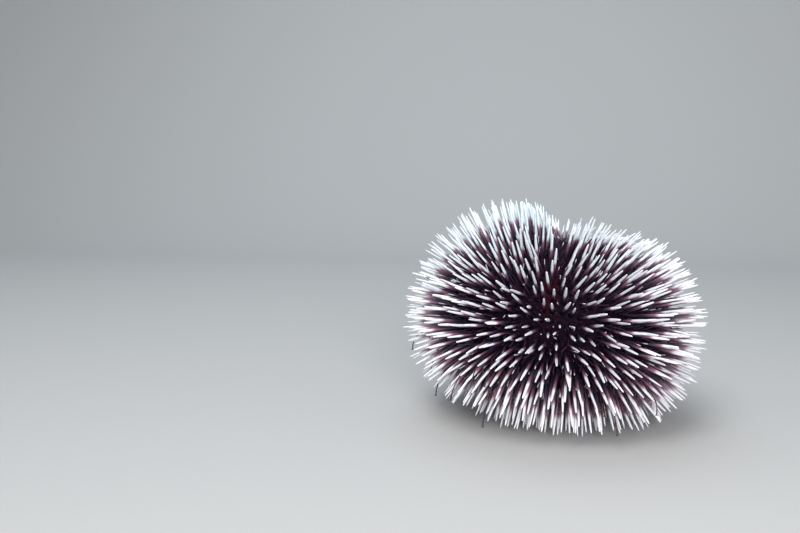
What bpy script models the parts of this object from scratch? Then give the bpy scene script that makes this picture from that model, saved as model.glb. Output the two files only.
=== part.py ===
"""A violet sea urchin at life size, resting on its lower spines and leaning a little back and sideways.

Metres, +Z up. The floor is z = 0 and the origin is under the middle of the animal's box. The shell is
turned about its own upright axis and cut into its ten zones by thin planes through that axis. Each zone
then gets its spines, is leant over, and has the spines that stand on the floor cut to small flats.
"""

import bisect
import math
import random

import bmesh
import bpy
from mathutils import Matrix, Vector, noise

# Shell, without its spines
SHELL_RADIUS = 0.050
CROWN_RISE = 0.040
BASE_DROP = 0.030
CROWN_POWER = 2.25
BASE_POWER = 2.5
PROFILE_STEPS = 16
TURN_STEPS = 40
OUTLINE_SAMPLES = 400

# Ten zones about the axis: five narrow ones with tube feet, five wide ones between them
ZONE_PAIRS = 5
NARROW_HALF_WIDTH = math.radians(14.5)
WIDE_HALF_WIDTH = math.radians(21.5)
FIRST_WIDE_AZIMUTH = math.radians(-88.0)
GAP = 0.0003

# Crown plates and mouth
CROWN_PLATE_RADIUS = 0.0065
CROWN_PLATE_DEPTH = 0.0018
CROWN_PLATE_DOME = 0.0012
DOME_STEPS = 3
DISC_STEPS = 30
MOUTH_RADIUS = 0.0145
MOUTH_DEPTH = 0.0050
MEMBRANE_SAG = 0.0012
LIP_RADIUS = 0.0040
LIP_THICKNESS = 0.0011
TOOTH_COUNT = 5
TOOTH_SIDES = 7
TOOTH_SPREAD = 0.0011
TOOTH_TIP_SPREAD = 0.0006
TOOTH_ROOT_RADIUS = 0.0013
TOOTH_TIP_RADIUS = 0.0007
TOOTH_SHOW = 0.0030
TOOTH_SUNK = 0.0006
SOCKET_RADIUS = 0.0026
SOCKET_THICKNESS = 0.0016
SOCKET_STEPS = 20

# Spines: set in rows, each along the shell's normal with a little natural scatter. The solids carry every
# other spine of the coat, like the dark fields of a chessboard.
SPINE_LENGTH = 0.0205
SPINE_ROOT_RADIUS = 0.00078
SPINE_TIP_RADIUS = 0.00050
SPINE_SIDES = 4
SPINE_SUNK = 0.0016
SPINE_PITCH = 0.0042
ROOT_SCATTER = 0.10
LENGTH_SCATTER = 0.09
TILT_SCATTER = math.radians(3.8)
SWEEP = math.radians(5.0)
SWEEP_SIZE = 0.022
CROWN_PARTING = math.radians(16.0)
CROWN_REACH = 0.017
CROWN_SHORTER = 0.25

# Front furrow: a line at one x from the crown down the front, bare in the middle, whose spines part
FURROW_X = -0.0030
FURROW_LEAN = math.radians(18.0)
FURROW_WIDTH = 0.007
FURROW_END = 0.5
BARE_SHARES = (0.0, 0.15, 0.28, 0.42)
BARE_HALF_WIDTHS = (0.0040, 0.0038, 0.0020, 0.0006)

# Hollow along the top, and a patch beside it whose spines lie lower, each with its reach along x and y
HOLLOW_PLACE = (0.0, -0.0040)
HOLLOW_REACH = (0.010, 0.022)
HOLLOW_LEAN = math.radians(20.0)
HOLLOW_BARE_REACH = (0.0038, 0.0150)
PRESSED_PLACE = (0.0120, 0.0030)
PRESSED_REACH = (0.019, 0.022)
PRESSED_LEAN = math.radians(42.0)
PRESSED_SHORTER = 0.26

# Spines that meet the floor
STANDING_SHARE = 0.45
STANDING_EXTRA = 0.0006
LEAST_FLOOR_SHARE = 0.78
SEED = 7
SWEEP_SEED = 2

# Tube feet: thin soft threads that hang from the narrow zones past the spines, each with a sucker
FOOT_ANGLES = [math.radians(a) for a in (-16.0, -28.0, -41.0)]
FOOT_OFFSET = 0.45
FOOT_RADIUS = 0.00040
FOOT_REACH = 0.0205
FOOT_HANG = 0.0085
FOOT_POINTS = 6
FOOT_STRAIGHTNESS = 0.8
SUCKER_RADIUS = 0.0010
SUCKER_THICKNESS = 0.0006
SUCKER_SIDES = 6

# Stance: how far the shell's widest girdle is above the floor, and how far the axis leans
GIRDLE_HEIGHT = 0.044
LEAN_BACK = math.radians(6.0)
LEAN_SIDE = math.radians(9.0)

FAR = 0.2
MERGE = 0.00001
SMOOTH_ANGLE = math.radians(40)

SPINE_VIOLET = (0.16, 0.05, 0.11)
PLATE_GREY = (0.30, 0.22, 0.26)
MEMBRANE_RED = (0.20, 0.06, 0.07)
TOOTH_IVORY = (0.86, 0.83, 0.74)


def clear_scene():
    for item in list(bpy.data.objects):
        bpy.data.objects.remove(item, do_unlink=True)


def new_collection(name):
    made = bpy.data.collections.new(name)
    bpy.context.scene.collection.children.link(made)
    return made


def remove_collection(collection):
    for item in list(collection.objects):
        bpy.data.objects.remove(item)
    bpy.data.collections.remove(collection)


def move_to(item, collection):
    for other in list(item.users_collection):
        other.objects.unlink(item)
    collection.objects.link(item)


def finish(name, colour, roughness):
    material = bpy.data.materials.new(name)
    material.use_nodes = True
    shader = material.node_tree.nodes["Principled BSDF"]
    shader.inputs["Base Color"].default_value = (*colour, 1.0)
    shader.inputs["Roughness"].default_value = roughness
    shader.inputs["Metallic"].default_value = 0.0
    return material


def shell_point(angle):
    """(radius, height) of the shell's outline at an angle from its girdle: +90 degrees is the crown."""
    rise, power = (CROWN_RISE, CROWN_POWER) if angle > 0 else (BASE_DROP, BASE_POWER)
    radius = SHELL_RADIUS * math.cos(angle) ** (2 / power)
    height = rise * abs(math.sin(angle)) ** (2 / power)
    return radius, math.copysign(height, angle)


def shell_normal(radius, height):
    """Unit (outward, upward) of the outline at a point on it."""
    rise, power = (CROWN_RISE, CROWN_POWER) if height > 0 else (BASE_DROP, BASE_POWER)
    out = (radius / SHELL_RADIUS) ** (power - 1) / SHELL_RADIUS
    up = (abs(height) / rise) ** (power - 1) / rise
    length = math.hypot(out, up)
    return out / length, math.copysign(up / length, height)


def angle_at_radius(radius, side):
    """The outline's angle where it has this radius, on the crown (side 1) or the base (side -1)."""
    power = CROWN_POWER if side > 0 else BASE_POWER
    return side * math.acos((radius / SHELL_RADIUS) ** (power / 2))


def shell_outline():
    """Points of the shell's outline, from the rim of the crown plates down to the rim of the mouth."""
    top = angle_at_radius(CROWN_PLATE_RADIUS, 1)
    bottom = angle_at_radius(MOUTH_RADIUS, -1)
    return [shell_point(top + (bottom - top) * i / PROFILE_STEPS) for i in range(PROFILE_STEPS + 1)]


def turned(name, outline, steps, collection):
    """Turns an outline of (radius, height) points, listed from top to bottom, about the Z axis."""
    mesh = bpy.data.meshes.new(name)
    points = [(radius, 0.0, height) for radius, height in outline]
    mesh.from_pydata(points, [(i, i + 1) for i in range(len(points) - 1)], [])
    item = bpy.data.objects.new(name, mesh)
    collection.objects.link(item)
    screw = item.modifiers.new("turn", "SCREW")
    screw.steps = steps
    screw.render_steps = steps
    screw.use_merge_vertices = True
    screw.merge_threshold = MERGE
    apply_modifiers(item)
    weld(item)
    return item


def apply_modifiers(item):
    """Replaces an object's mesh by what its modifiers make of it."""
    bpy.context.view_layer.update()
    evaluated = item.evaluated_get(bpy.context.evaluated_depsgraph_get())
    mesh = bpy.data.meshes.new_from_object(evaluated)
    item.modifiers.clear()
    item.data = mesh


def sector(name, azimuth, half_width, cutters):
    """A tall wedge about the axis that holds one zone, half a gap clear of the zone's two side planes."""
    curve = bpy.data.curves.new(name, "CURVE")
    curve.dimensions = "2D"
    curve.fill_mode = "BOTH"
    curve.extrude = FAR
    start = Vector((math.cos(azimuth), math.sin(azimuth))) * (GAP / 2 / math.sin(half_width))
    corners = [start]
    for turn in (-half_width, 0.0, half_width):
        heading = azimuth + turn
        corners.append(start + FAR * Vector((math.cos(heading), math.sin(heading))))
    spline = curve.splines.new("POLY")
    spline.points.add(len(corners) - 1)
    for point, corner in zip(spline.points, corners):
        point.co = (*corner, 0.0, 1.0)
    spline.use_cyclic_u = True
    outline = bpy.data.objects.new(name + "_outline", curve)
    cutters.objects.link(outline)
    bpy.context.view_layer.update()
    mesh = bpy.data.meshes.new_from_object(outline.evaluated_get(bpy.context.evaluated_depsgraph_get()))
    bpy.data.objects.remove(outline)
    item = bpy.data.objects.new(name, mesh)
    cutters.objects.link(item)
    weld(item)
    item.hide_render = True
    item.display_type = "WIRE"
    return item


def weld(item):
    shape = bmesh.new()
    shape.from_mesh(item.data)
    bmesh.ops.remove_doubles(shape, verts=shape.verts, dist=MERGE)
    bmesh.ops.recalc_face_normals(shape, faces=shape.faces)
    shape.to_mesh(item.data)
    shape.free()


def combine(item, operation, other):
    """Applies one Boolean with another object or with all the objects of a collection."""
    boolean = item.modifiers.new(operation.lower(), "BOOLEAN")
    boolean.operation = operation
    boolean.solver = "EXACT"
    if isinstance(other, bpy.types.Collection):
        boolean.operand_type = "COLLECTION"
        boolean.collection = other
    else:
        boolean.object = other
    apply_modifiers(item)


def lean_matrix():
    """Carries the upright shell, its girdle centred on the origin, to its leaning stance over the floor."""
    back = Matrix.Rotation(-LEAN_BACK, 4, "X")
    side = Matrix.Rotation(LEAN_SIDE, 4, "Y")
    return Matrix.Translation((0.0, 0.0, GIRDLE_HEIGHT)) @ side @ back


def shell_body_outline():
    """The whole shell's outline, with the shallow wells of the crown plates and the mouth."""
    rims = shell_outline()
    crown_floor = rims[0][1] - CROWN_PLATE_DEPTH
    mouth_floor = rims[-1][1] + MOUTH_DEPTH
    top = [(0.0, crown_floor), (CROWN_PLATE_RADIUS, crown_floor)]
    bottom = [(MOUTH_RADIUS, mouth_floor), (0.0, mouth_floor)]
    return top + rims + bottom


def zones():
    """Name, middle azimuth and half width of each of the ten zones."""
    pair_turn = 2 * math.pi / ZONE_PAIRS
    half_turn = NARROW_HALF_WIDTH + WIDE_HALF_WIDTH
    for i in range(ZONE_PAIRS):
        middle = FIRST_WIDE_AZIMUTH + i * pair_turn
        yield f"interambulacrum_{i + 1}", middle, WIDE_HALF_WIDTH
        yield f"ambulacrum_{i + 1}", middle + half_turn, NARROW_HALF_WIDTH


def floor_block(cutters):
    """A slab under the floor, which cuts the lowest spines to small flats at one level."""
    bpy.ops.mesh.primitive_cube_add(size=1.0, location=(0.0, 0.0, -FAR / 2))
    slab = bpy.context.object
    slab.name = "floor_cut"
    slab.data.transform(Matrix.Diagonal((2 * FAR, 2 * FAR, FAR, 1.0)))
    move_to(slab, cutters)
    slab.hide_render = True
    slab.display_type = "WIRE"
    return slab


def shell_walk():
    """Outline angles from the crown's rim to the mouth's, and how far along the shell each one is."""
    top = angle_at_radius(CROWN_PLATE_RADIUS, 1)
    bottom = angle_at_radius(MOUTH_RADIUS, -1)
    angles = [top + (bottom - top) * i / OUTLINE_SAMPLES for i in range(OUTLINE_SAMPLES + 1)]
    reached = [0.0]
    for first, second in zip(angles, angles[1:]):
        reached.append(reached[-1] + math.dist(shell_point(first), shell_point(second)))
    return angles, reached


def between(value, marks, results):
    """The result at a value, read along straight lines between the marks."""
    after = min(max(1, bisect.bisect_left(marks, value)), len(marks) - 1)
    share = (value - marks[after - 1]) / (marks[after] - marks[after - 1])
    return results[after - 1] + share * (results[after] - results[after - 1])


def spine_places(azimuth, half_width, rng):
    """Root, heading, share along the shell and chance numbers of each place where the coat has a spine."""
    angles, reached = shell_walk()
    rows = round(reached[-1] / SPINE_PITCH)
    for row in range(rows):
        middle = between((row + 0.5) / rows * reached[-1], reached, angles)
        columns = max(1, round(2 * half_width * shell_point(middle)[0] / SPINE_PITCH))
        for column in range(columns):
            across, along, aside, away = (rng.gauss(0.0, 1.0) for _ in range(4))
            share = (row + 0.5 + along * ROOT_SCATTER) / rows
            radius, height = shell_point(between(share * reached[-1], reached, angles))
            offset = ((column + 0.5 + across * ROOT_SCATTER) / columns - 0.5) * 2 * half_width
            heading = azimuth + offset
            root = Vector((radius * math.cos(heading), radius * math.sin(heading), height))
            chances = [rng.random() for _ in range(3)]
            yield (row + column) % 2 == 0, root, heading, share, (aside, away), chances


def offset_from(root, place, reach):
    """Way from a place to a root, seen from above, where 1 is the place's reach along x or along y."""
    return Vector(((root.x - place[0]) / reach[0], (root.y - place[1]) / reach[1]))


def nearness(root, place, reach):
    """1 at a place seen from above, and less away from it."""
    return math.exp(-(offset_from(root, place, reach).length ** 2))


def in_bare_place(root, share):
    """Whether a root would stand in the bare middle of the hollow or of the front furrow."""
    if root.z < 0:
        return False
    if offset_from(root, HOLLOW_PLACE, HOLLOW_BARE_REACH).length < 1:
        return True
    in_furrow = root.y < HOLLOW_PLACE[1] and share < BARE_SHARES[-1]
    return in_furrow and abs(root.x - FURROW_X) < between(share, BARE_SHARES, BARE_HALF_WIDTHS)


def crown_nearness(root):
    """1 at the crown, and less away from it."""
    return math.exp(-((math.hypot(root.x, root.y) / CROWN_REACH) ** 2))


def shortened(length, root):
    """A spine's length, less round the crown and in the pressed patch."""
    if root.z < 0:
        return length
    pressed = PRESSED_SHORTER * nearness(root, PRESSED_PLACE, PRESSED_REACH)
    return length * (1 - CROWN_SHORTER * crown_nearness(root)) * (1 - pressed)


def coat_lean(root, heading, share):
    """How far the partings of the coat make a spine lean aside and away from the crown."""
    if root.z < 0:
        return 0.0, 0.0
    lean = offset_from(root, HOLLOW_PLACE, HOLLOW_REACH).normalized()
    lean *= HOLLOW_LEAN * nearness(root, HOLLOW_PLACE, HOLLOW_REACH)
    if root.y < 0:
        arc = root.x - FURROW_X
        depth = FURROW_LEAN * max(0.0, 1 - share / FURROW_END) * math.exp(-abs(arc) / FURROW_WIDTH)
        lean.x += math.copysign(depth, arc)
    out = Vector((math.cos(heading), math.sin(heading)))
    crown = CROWN_PARTING * crown_nearness(root)
    pressed = PRESSED_LEAN * nearness(root, PRESSED_PLACE, PRESSED_REACH)
    return out.x * lean.y - out.y * lean.x, lean.dot(out) + crown + pressed


def spine_direction(root, heading, aside, away):
    """Unit direction of a spine that leans from the shell's normal by these angles."""
    out, up = shell_normal(math.hypot(root.x, root.y), root.z)
    normal = Vector((out * math.cos(heading), out * math.sin(heading), up))
    sideways = Vector((-math.sin(heading), math.cos(heading), 0.0))
    outward = Vector((up * math.cos(heading), up * math.sin(heading), -out))
    return (normal + sideways * math.tan(aside) + outward * math.tan(away)).normalized()


def natural_direction(root, heading, share, scatter):
    """Direction of a coat spine, with the coat's partings, the sweep of its patch and its own scatter."""
    aside, away = coat_lean(root, heading, share)
    noise.seed_set(SWEEP_SEED)
    sweep = noise.noise_vector(root / SWEEP_SIZE) * SWEEP
    aside += sweep.x + scatter[0] * TILT_SCATTER
    away += sweep.y + scatter[1] * TILT_SCATTER
    return spine_direction(root, heading, aside, away)


def kept_in_zone(root, tip, azimuth, half_width):
    """The tip, swung back if needed so that the spine stays clear of the zone's two side planes."""
    length = (tip - root).length
    reach = math.hypot(tip.x, tip.y)
    offset = math.remainder(math.atan2(tip.y, tip.x) - azimuth, 2 * math.pi)
    room = half_width - math.asin(min(1.0, (SPINE_ROOT_RADIUS + GAP) / reach))
    kept = azimuth + max(-room, min(room, offset))
    swung = Vector((reach * math.cos(kept), reach * math.sin(kept), tip.z))
    return root + (swung - root).normalized() * length


def floor_length(root, direction, length, stance, chances):
    """Length of a spine that would meet the floor: some stand on it, the others stop a little above."""
    height = (stance @ root).z
    fall = -(stance.to_3x3() @ direction).z
    if fall <= 0 or height / fall > length:
        return length
    if chances[0] < STANDING_SHARE:
        return height / fall + STANDING_EXTRA
    share = LEAST_FLOOR_SHARE + (1 - LEAST_FLOOR_SHARE) * chances[1]
    return height / fall * share - SPINE_TIP_RADIUS


def spine_mesh(length):
    """A tapered spine with a blunt tip, along +Z from its sunk root."""
    shape = bmesh.new()
    bmesh.ops.create_cone(
        shape,
        cap_ends=True,
        segments=SPINE_SIDES,
        radius1=SPINE_ROOT_RADIUS,
        radius2=SPINE_TIP_RADIUS,
        depth=length + SPINE_SUNK,
        matrix=Matrix.Translation((0.0, 0.0, (length - SPINE_SUNK) / 2)),
    )
    mesh = bpy.data.meshes.new("spine")
    shape.to_mesh(mesh)
    shape.free()
    return mesh


def zone_spines(azimuth, half_width, stance, rng):
    """A collection with the solids' spines of one zone, each a closed object set on the shell."""
    spines = new_collection("spines")
    for in_solids, root, heading, share, scatter, chances in spine_places(azimuth, half_width, rng):
        if not in_solids or in_bare_place(root, share):
            continue
        direction = natural_direction(root, heading, share, scatter)
        length = shortened(SPINE_LENGTH * (1 + LENGTH_SCATTER * (2 * chances[2] - 1)), root)
        tip = kept_in_zone(root, root + direction * length, azimuth, half_width)
        direction = (tip - root).normalized()
        length = floor_length(root, direction, length, stance, chances)
        spine = bpy.data.objects.new("spine", spine_mesh(length))
        turn = Matrix.Rotation(math.pi * chances[2], 4, "Z")
        aim = direction.to_track_quat("Z", "Y").to_matrix().to_4x4()
        spine.matrix_world = Matrix.Translation(root) @ aim @ turn
        spines.objects.link(spine)
    return spines


def foot_path(root, direction, down):
    """Points of a tube foot, which leaves the shell along the spines and then hangs over."""
    points = [root - direction * SPINE_SUNK]
    for i in range(1, FOOT_POINTS):
        along = i / (FOOT_POINTS - 1)
        out = FOOT_REACH * math.sin(along * math.pi / 2) ** FOOT_STRAIGHTNESS
        points.append(root + direction * out + down * FOOT_HANG * along**3)
    return points


def foot_thread(points, collection):
    """The thread of one tube foot, a thin tube along its path."""
    curve = bpy.data.curves.new("tube_foot", "CURVE")
    curve.dimensions = "3D"
    curve.bevel_depth = FOOT_RADIUS
    curve.bevel_resolution = 0
    curve.use_fill_caps = True
    spline = curve.splines.new("POLY")
    spline.points.add(len(points) - 1)
    for knot, point in zip(spline.points, points):
        knot.co = (*point, 1.0)
    guide = bpy.data.objects.new("tube_foot_path", curve)
    collection.objects.link(guide)
    bpy.context.view_layer.update()
    mesh = bpy.data.meshes.new_from_object(guide.evaluated_get(bpy.context.evaluated_depsgraph_get()))
    thread = bpy.data.objects.new("tube_foot", mesh)
    thread.matrix_world = guide.matrix_world
    bpy.data.objects.remove(guide)
    collection.objects.link(thread)
    weld(thread)


def foot_sucker(points, collection):
    """The small disc at the end of one tube foot."""
    shape = bmesh.new()
    bmesh.ops.create_cone(
        shape,
        cap_ends=True,
        segments=SUCKER_SIDES,
        radius1=FOOT_RADIUS,
        radius2=SUCKER_RADIUS,
        depth=SUCKER_THICKNESS,
    )
    mesh = bpy.data.meshes.new("sucker")
    shape.to_mesh(mesh)
    shape.free()
    sucker = bpy.data.objects.new("sucker", mesh)
    aim = (points[-1] - points[-2]).to_track_quat("Z", "Y").to_matrix().to_4x4()
    sucker.matrix_world = Matrix.Translation(points[-1]) @ aim
    collection.objects.link(sucker)


def add_tube_feet(azimuth, half_width, stance, spines):
    """Adds the tube feet of one narrow zone to the collection of its spines."""
    down = stance.to_3x3().inverted() @ Vector((0.0, 0.0, -1.0))
    for i, angle in enumerate(FOOT_ANGLES):
        radius, height = shell_point(angle)
        heading = azimuth + half_width * FOOT_OFFSET * (-1) ** i
        root = Vector((radius * math.cos(heading), radius * math.sin(heading), height))
        points = foot_path(root, spine_direction(root, heading, 0.0, 0.0), down)
        foot_thread(points, spines)
        foot_sucker(points, spines)


def keep_largest(item):
    """Keeps only the largest closed surface of an object's mesh."""
    shape = bmesh.new()
    shape.from_mesh(item.data)
    left = set(shape.verts)
    pieces = []
    while left:
        piece = {left.pop()}
        edge_of_piece = list(piece)
        while edge_of_piece:
            corner = edge_of_piece.pop()
            near = {edge.other_vert(corner) for edge in corner.link_edges} & left
            left -= near
            piece |= near
            edge_of_piece.extend(near)
        pieces.append(piece)
    pieces.sort(key=len)
    for piece in pieces[:-1]:
        bmesh.ops.delete(shape, geom=list(piece), context="VERTS")
    shape.to_mesh(item.data)
    shape.free()


def shell_zones(urchin, cutters, stance, material):
    """The ten zones of the shell, each a wedge of one turned body with its own spines fused to it."""
    whole = turned("whole_shell", shell_body_outline(), TURN_STEPS, cutters)
    slab = floor_block(cutters)
    for index, (name, azimuth, half_width) in enumerate(zones()):
        zone = bpy.data.objects.new(name, whole.data.copy())
        urchin.objects.link(zone)
        cutter = sector(name + "_sector", azimuth, half_width, cutters)
        combine(zone, "INTERSECT", cutter)
        bpy.data.objects.remove(cutter)
        spines = zone_spines(azimuth, half_width, stance, random.Random(SEED + index))
        if half_width == NARROW_HALF_WIDTH:
            add_tube_feet(azimuth, half_width, stance, spines)
        combine(zone, "UNION", spines)
        remove_collection(spines)
        zone.data.transform(stance)
        combine(zone, "DIFFERENCE", slab)
        keep_largest(zone)
        dress(zone, material)
    bpy.data.objects.remove(whole)


def dress(item, material):
    item.data.materials.clear()
    item.data.materials.append(material)
    item.data.shade_smooth()
    item.data.set_sharp_from_angle(angle=SMOOTH_ANGLE)


def crown_plates(urchin, stance, material):
    """The small disc of plates at the top, where the zones end."""
    rim_height = shell_outline()[0][1]
    radius = CROWN_PLATE_RADIUS - GAP
    floor = rim_height - CROWN_PLATE_DEPTH + GAP
    dome = []
    for i in range(DOME_STEPS + 1):
        out = i / DOME_STEPS
        dome.append((radius * out, rim_height + CROWN_PLATE_DOME * (1 - out**2)))
    disc = turned("apical_disc", dome + [(radius, floor), (0.0, floor)], DISC_STEPS, urchin)
    disc.data.transform(stance)
    dress(disc, material)


def mouth_membrane(urchin, stance, material):
    """The soft ring that closes the shell round the teeth. It sags to a lip that stands out round them."""
    rim_height = shell_outline()[-1][1]
    floor = rim_height + MOUTH_DEPTH - GAP
    radius = MOUTH_RADIUS - GAP
    outline = [
        (LIP_RADIUS - LIP_THICKNESS, floor),
        (radius, floor),
        (radius, rim_height + MEMBRANE_SAG),
        ((radius + LIP_RADIUS) / 2, rim_height + MEMBRANE_SAG / 3),
        (LIP_RADIUS + LIP_THICKNESS, rim_height),
        (LIP_RADIUS, rim_height - LIP_THICKNESS),
        (LIP_RADIUS - LIP_THICKNESS, rim_height),
        (LIP_RADIUS - LIP_THICKNESS, floor),
    ]
    ring = turned("peristome", outline, DISC_STEPS, urchin)
    ring.data.transform(stance)
    dress(ring, material)


def teeth(urchin, stance, material):
    """Five tapered teeth that lean together in the middle of the mouth, on the socket that holds them."""
    rim_height = shell_outline()[-1][1]
    floor = rim_height + MOUTH_DEPTH - GAP
    outline = [
        (0.0, floor),
        (SOCKET_RADIUS, floor),
        (SOCKET_RADIUS, floor - SOCKET_THICKNESS),
        (0.0, floor - SOCKET_THICKNESS),
    ]
    socket = turned("lantern_teeth", outline, SOCKET_STEPS, urchin)
    root = floor - SOCKET_THICKNESS + TOOTH_SUNK
    length = root - rim_height + TOOTH_SHOW
    lean_in = math.atan2(TOOTH_SPREAD - TOOTH_TIP_SPREAD, length)
    pieces = new_collection("teeth")
    for i in range(TOOTH_COUNT):
        bpy.ops.mesh.primitive_cone_add(
            vertices=TOOTH_SIDES, radius1=TOOTH_ROOT_RADIUS, radius2=TOOTH_TIP_RADIUS, depth=length
        )
        tooth = bpy.context.object
        tooth.data.transform(Matrix.Translation((0.0, 0.0, length / 2)))
        tooth.data.transform(
            Matrix.Rotation(2 * math.pi * i / TOOTH_COUNT, 4, "Z")
            @ Matrix.Translation((TOOTH_SPREAD, 0.0, root))
            @ Matrix.Rotation(math.pi + lean_in, 4, "Y")
        )
        move_to(tooth, pieces)
    combine(socket, "UNION", pieces)
    remove_collection(pieces)
    socket.data.transform(stance)
    dress(socket, material)


def centre_over_origin(urchin):
    """Slides the whole animal over the floor until the origin is under the middle of its box."""
    corners = [v.co for item in urchin.objects for v in item.data.vertices]
    shift_x = -(min(c.x for c in corners) + max(c.x for c in corners)) / 2
    shift_y = -(min(c.y for c in corners) + max(c.y for c in corners)) / 2
    for item in urchin.objects:
        item.data.transform(Matrix.Translation((shift_x, shift_y, 0.0)))


def main():
    clear_scene()
    urchin = new_collection("sea_urchin")
    cutters = new_collection("cutters")
    stance = lean_matrix()
    shell_zones(urchin, cutters, stance, finish("violet_spines", SPINE_VIOLET, 0.45))
    crown_plates(urchin, stance, finish("crown_plates", PLATE_GREY, 0.6))
    mouth_membrane(urchin, stance, finish("mouth_membrane", MEMBRANE_RED, 0.5))
    teeth(urchin, stance, finish("tooth_ivory", TOOTH_IVORY, 0.35))
    centre_over_origin(urchin)


main()
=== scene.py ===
"""The looks of a violet sea urchin at life size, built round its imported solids.

Metres, +Z up. Pieces are shaped round the shell's own upright axis, with the girdle at height 0, and one
matrix then leans them over and sets them where the solids are. Spines grow in rows on each of the shell's ten
zones, along the shell's normal, and part round the crown and down the front furrow.
"""

import math
import random

import bpy
import numpy as np
from bpy.props import FloatProperty, FloatVectorProperty, IntProperty, PointerProperty
from bpy.types import Operator, Panel, PropertyGroup
from mathutils import Matrix, Vector, noise


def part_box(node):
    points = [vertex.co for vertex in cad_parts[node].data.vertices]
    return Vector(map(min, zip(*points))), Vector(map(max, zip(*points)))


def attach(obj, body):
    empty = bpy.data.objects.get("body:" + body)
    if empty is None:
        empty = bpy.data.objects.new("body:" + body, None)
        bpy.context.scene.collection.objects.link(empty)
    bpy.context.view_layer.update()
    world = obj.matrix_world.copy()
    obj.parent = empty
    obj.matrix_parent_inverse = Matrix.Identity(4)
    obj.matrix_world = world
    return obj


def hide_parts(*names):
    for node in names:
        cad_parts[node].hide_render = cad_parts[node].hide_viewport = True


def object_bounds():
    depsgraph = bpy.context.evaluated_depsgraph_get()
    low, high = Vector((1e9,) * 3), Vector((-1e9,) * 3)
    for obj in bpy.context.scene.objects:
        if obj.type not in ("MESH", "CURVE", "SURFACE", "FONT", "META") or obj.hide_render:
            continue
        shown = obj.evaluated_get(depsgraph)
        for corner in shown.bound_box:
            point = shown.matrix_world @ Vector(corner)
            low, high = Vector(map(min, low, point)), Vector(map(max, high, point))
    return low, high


bl_info = {
    "name": "Violet sea urchin",
    "version": (1, 0, 0),
    "blender": (4, 5, 0),
    "location": "View3D > Sidebar > Urchin",
    "description": "Builds the skin, spines, feet, crown and mouth of a violet sea urchin",
    "category": "Add Mesh",
}

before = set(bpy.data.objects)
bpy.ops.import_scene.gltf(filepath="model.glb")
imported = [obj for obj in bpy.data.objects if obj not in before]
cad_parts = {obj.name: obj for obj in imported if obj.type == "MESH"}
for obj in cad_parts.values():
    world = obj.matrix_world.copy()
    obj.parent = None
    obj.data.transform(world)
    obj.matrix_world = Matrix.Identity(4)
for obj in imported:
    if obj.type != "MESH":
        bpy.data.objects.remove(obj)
solid_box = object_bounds()

BODY = "root"

# The shell and its stance, as the solids have them
SHELL_RADIUS = 0.050
CROWN_RISE = 0.040
BASE_DROP = 0.030
CROWN_POWER = 2.25
BASE_POWER = 2.5
ZONE_PAIRS = 5
NARROW_HALF_WIDTH = math.radians(14.5)
WIDE_HALF_WIDTH = math.radians(21.5)
FIRST_WIDE_AZIMUTH = math.radians(-88.0)
GAP = 0.0003
CROWN_PLATE_RADIUS = 0.0065
CROWN_PLATE_DEPTH = 0.0018
MOUTH_RADIUS = 0.0145
MOUTH_DEPTH = 0.0050
GIRDLE_HEIGHT = 0.044
LEAN_BACK = math.radians(6.0)
LEAN_SIDE = math.radians(9.0)
OUTLINE_SAMPLES = 400

# Skin: its grid, the plates that swell under it, how steeply their relief rises from each rim, and the small
# disc in the bake map for the caps in its two wells
SKIN_TURN = 300
SKIN_ROWS = 130
PLATE_COUNT = 22
PLATE_RELIEF = 0.00022
PLATE_ROUNDNESS = 0.6
RIM_STEEPNESS = 30
WELL_MIDDLE_SHARE = 0.1
SKIN_CAP_MIDDLE = (0.5, 0.0005)
SKIN_CAP_REACH = (0.001, 0.0005)

# Dark red flush of the skin at the furrow's foot: its place and reach along x and along the shell
FLUSH_PLACE = (-0.0048, 0.41)
FLUSH_REACH = (0.0034, 0.10)

# How the spines stand. The solids carry every other long spine, at the same places.
SPINE_ROOT_RADIUS = 0.00078
TIP_RADIUS = 0.0005
ROOT_SCATTER = 0.10
SWEEP_SIZE = 0.022
CROWN_PARTING = math.radians(16.0)
CROWN_REACH = 0.017
CROWN_SHORTER = 0.25
STANDING_SHARE = 0.45
LEAST_FLOOR_SHARE = 0.78

# Front furrow: a line at one x from the crown down the front, bare in the middle, whose spines part
FURROW_X = -0.0030
FURROW_LEAN = math.radians(18.0)
FURROW_WIDTH = 0.007
FURROW_END = 0.5
BARE_SHARES = (0.0, 0.15, 0.28, 0.42)
BARE_HALF_WIDTHS = (0.0040, 0.0038, 0.0020, 0.0006)

# Hollow along the top, and a patch beside it whose spines lie lower, each with its reach along x and y
HOLLOW_PLACE = (0.0, -0.0040)
HOLLOW_REACH = (0.010, 0.022)
HOLLOW_LEAN = math.radians(20.0)
HOLLOW_BARE_REACH = (0.0038, 0.0150)
PRESSED_PLACE = (0.0120, 0.0030)
PRESSED_REACH = (0.019, 0.022)
PRESSED_LEAN = math.radians(42.0)
PRESSED_SHORTER = 0.26

# A spine's outline: share of its length, and radius as a share of the shaft's radius
LONG_OUTLINE = (
    (-0.03, 0.85),
    (0.0, 1.0),
    (0.018, 1.35),
    (0.034, 1.4),
    (0.05, 1.15),
    (0.075, 0.97),
    (0.2, 1.0),
    (0.5, 1.0),
    (0.65, 0.97),
    (0.8, 0.86),
    (0.92, 0.68),
    (0.975, 0.52),
    (0.993, 0.32),
    (1.0, 0.1),
)
SHORT_OUTLINE = ((-0.04, 1.1), (0.03, 1.4), (0.08, 1.0), (0.5, 0.92), (0.93, 0.68), (1.0, 0.3))
LONG_SIDES = 10
SHORT_SIDES = 6

# How spines differ: their bend and thickness, and more taper on those that show from the side or stand up
BEND = 0.012
THICKNESS_SCATTER = 0.18
FINE_TAPER = 0.42
SIDE_TAPER = 0.85
MORE_TAPER_UP = 0.3

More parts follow.
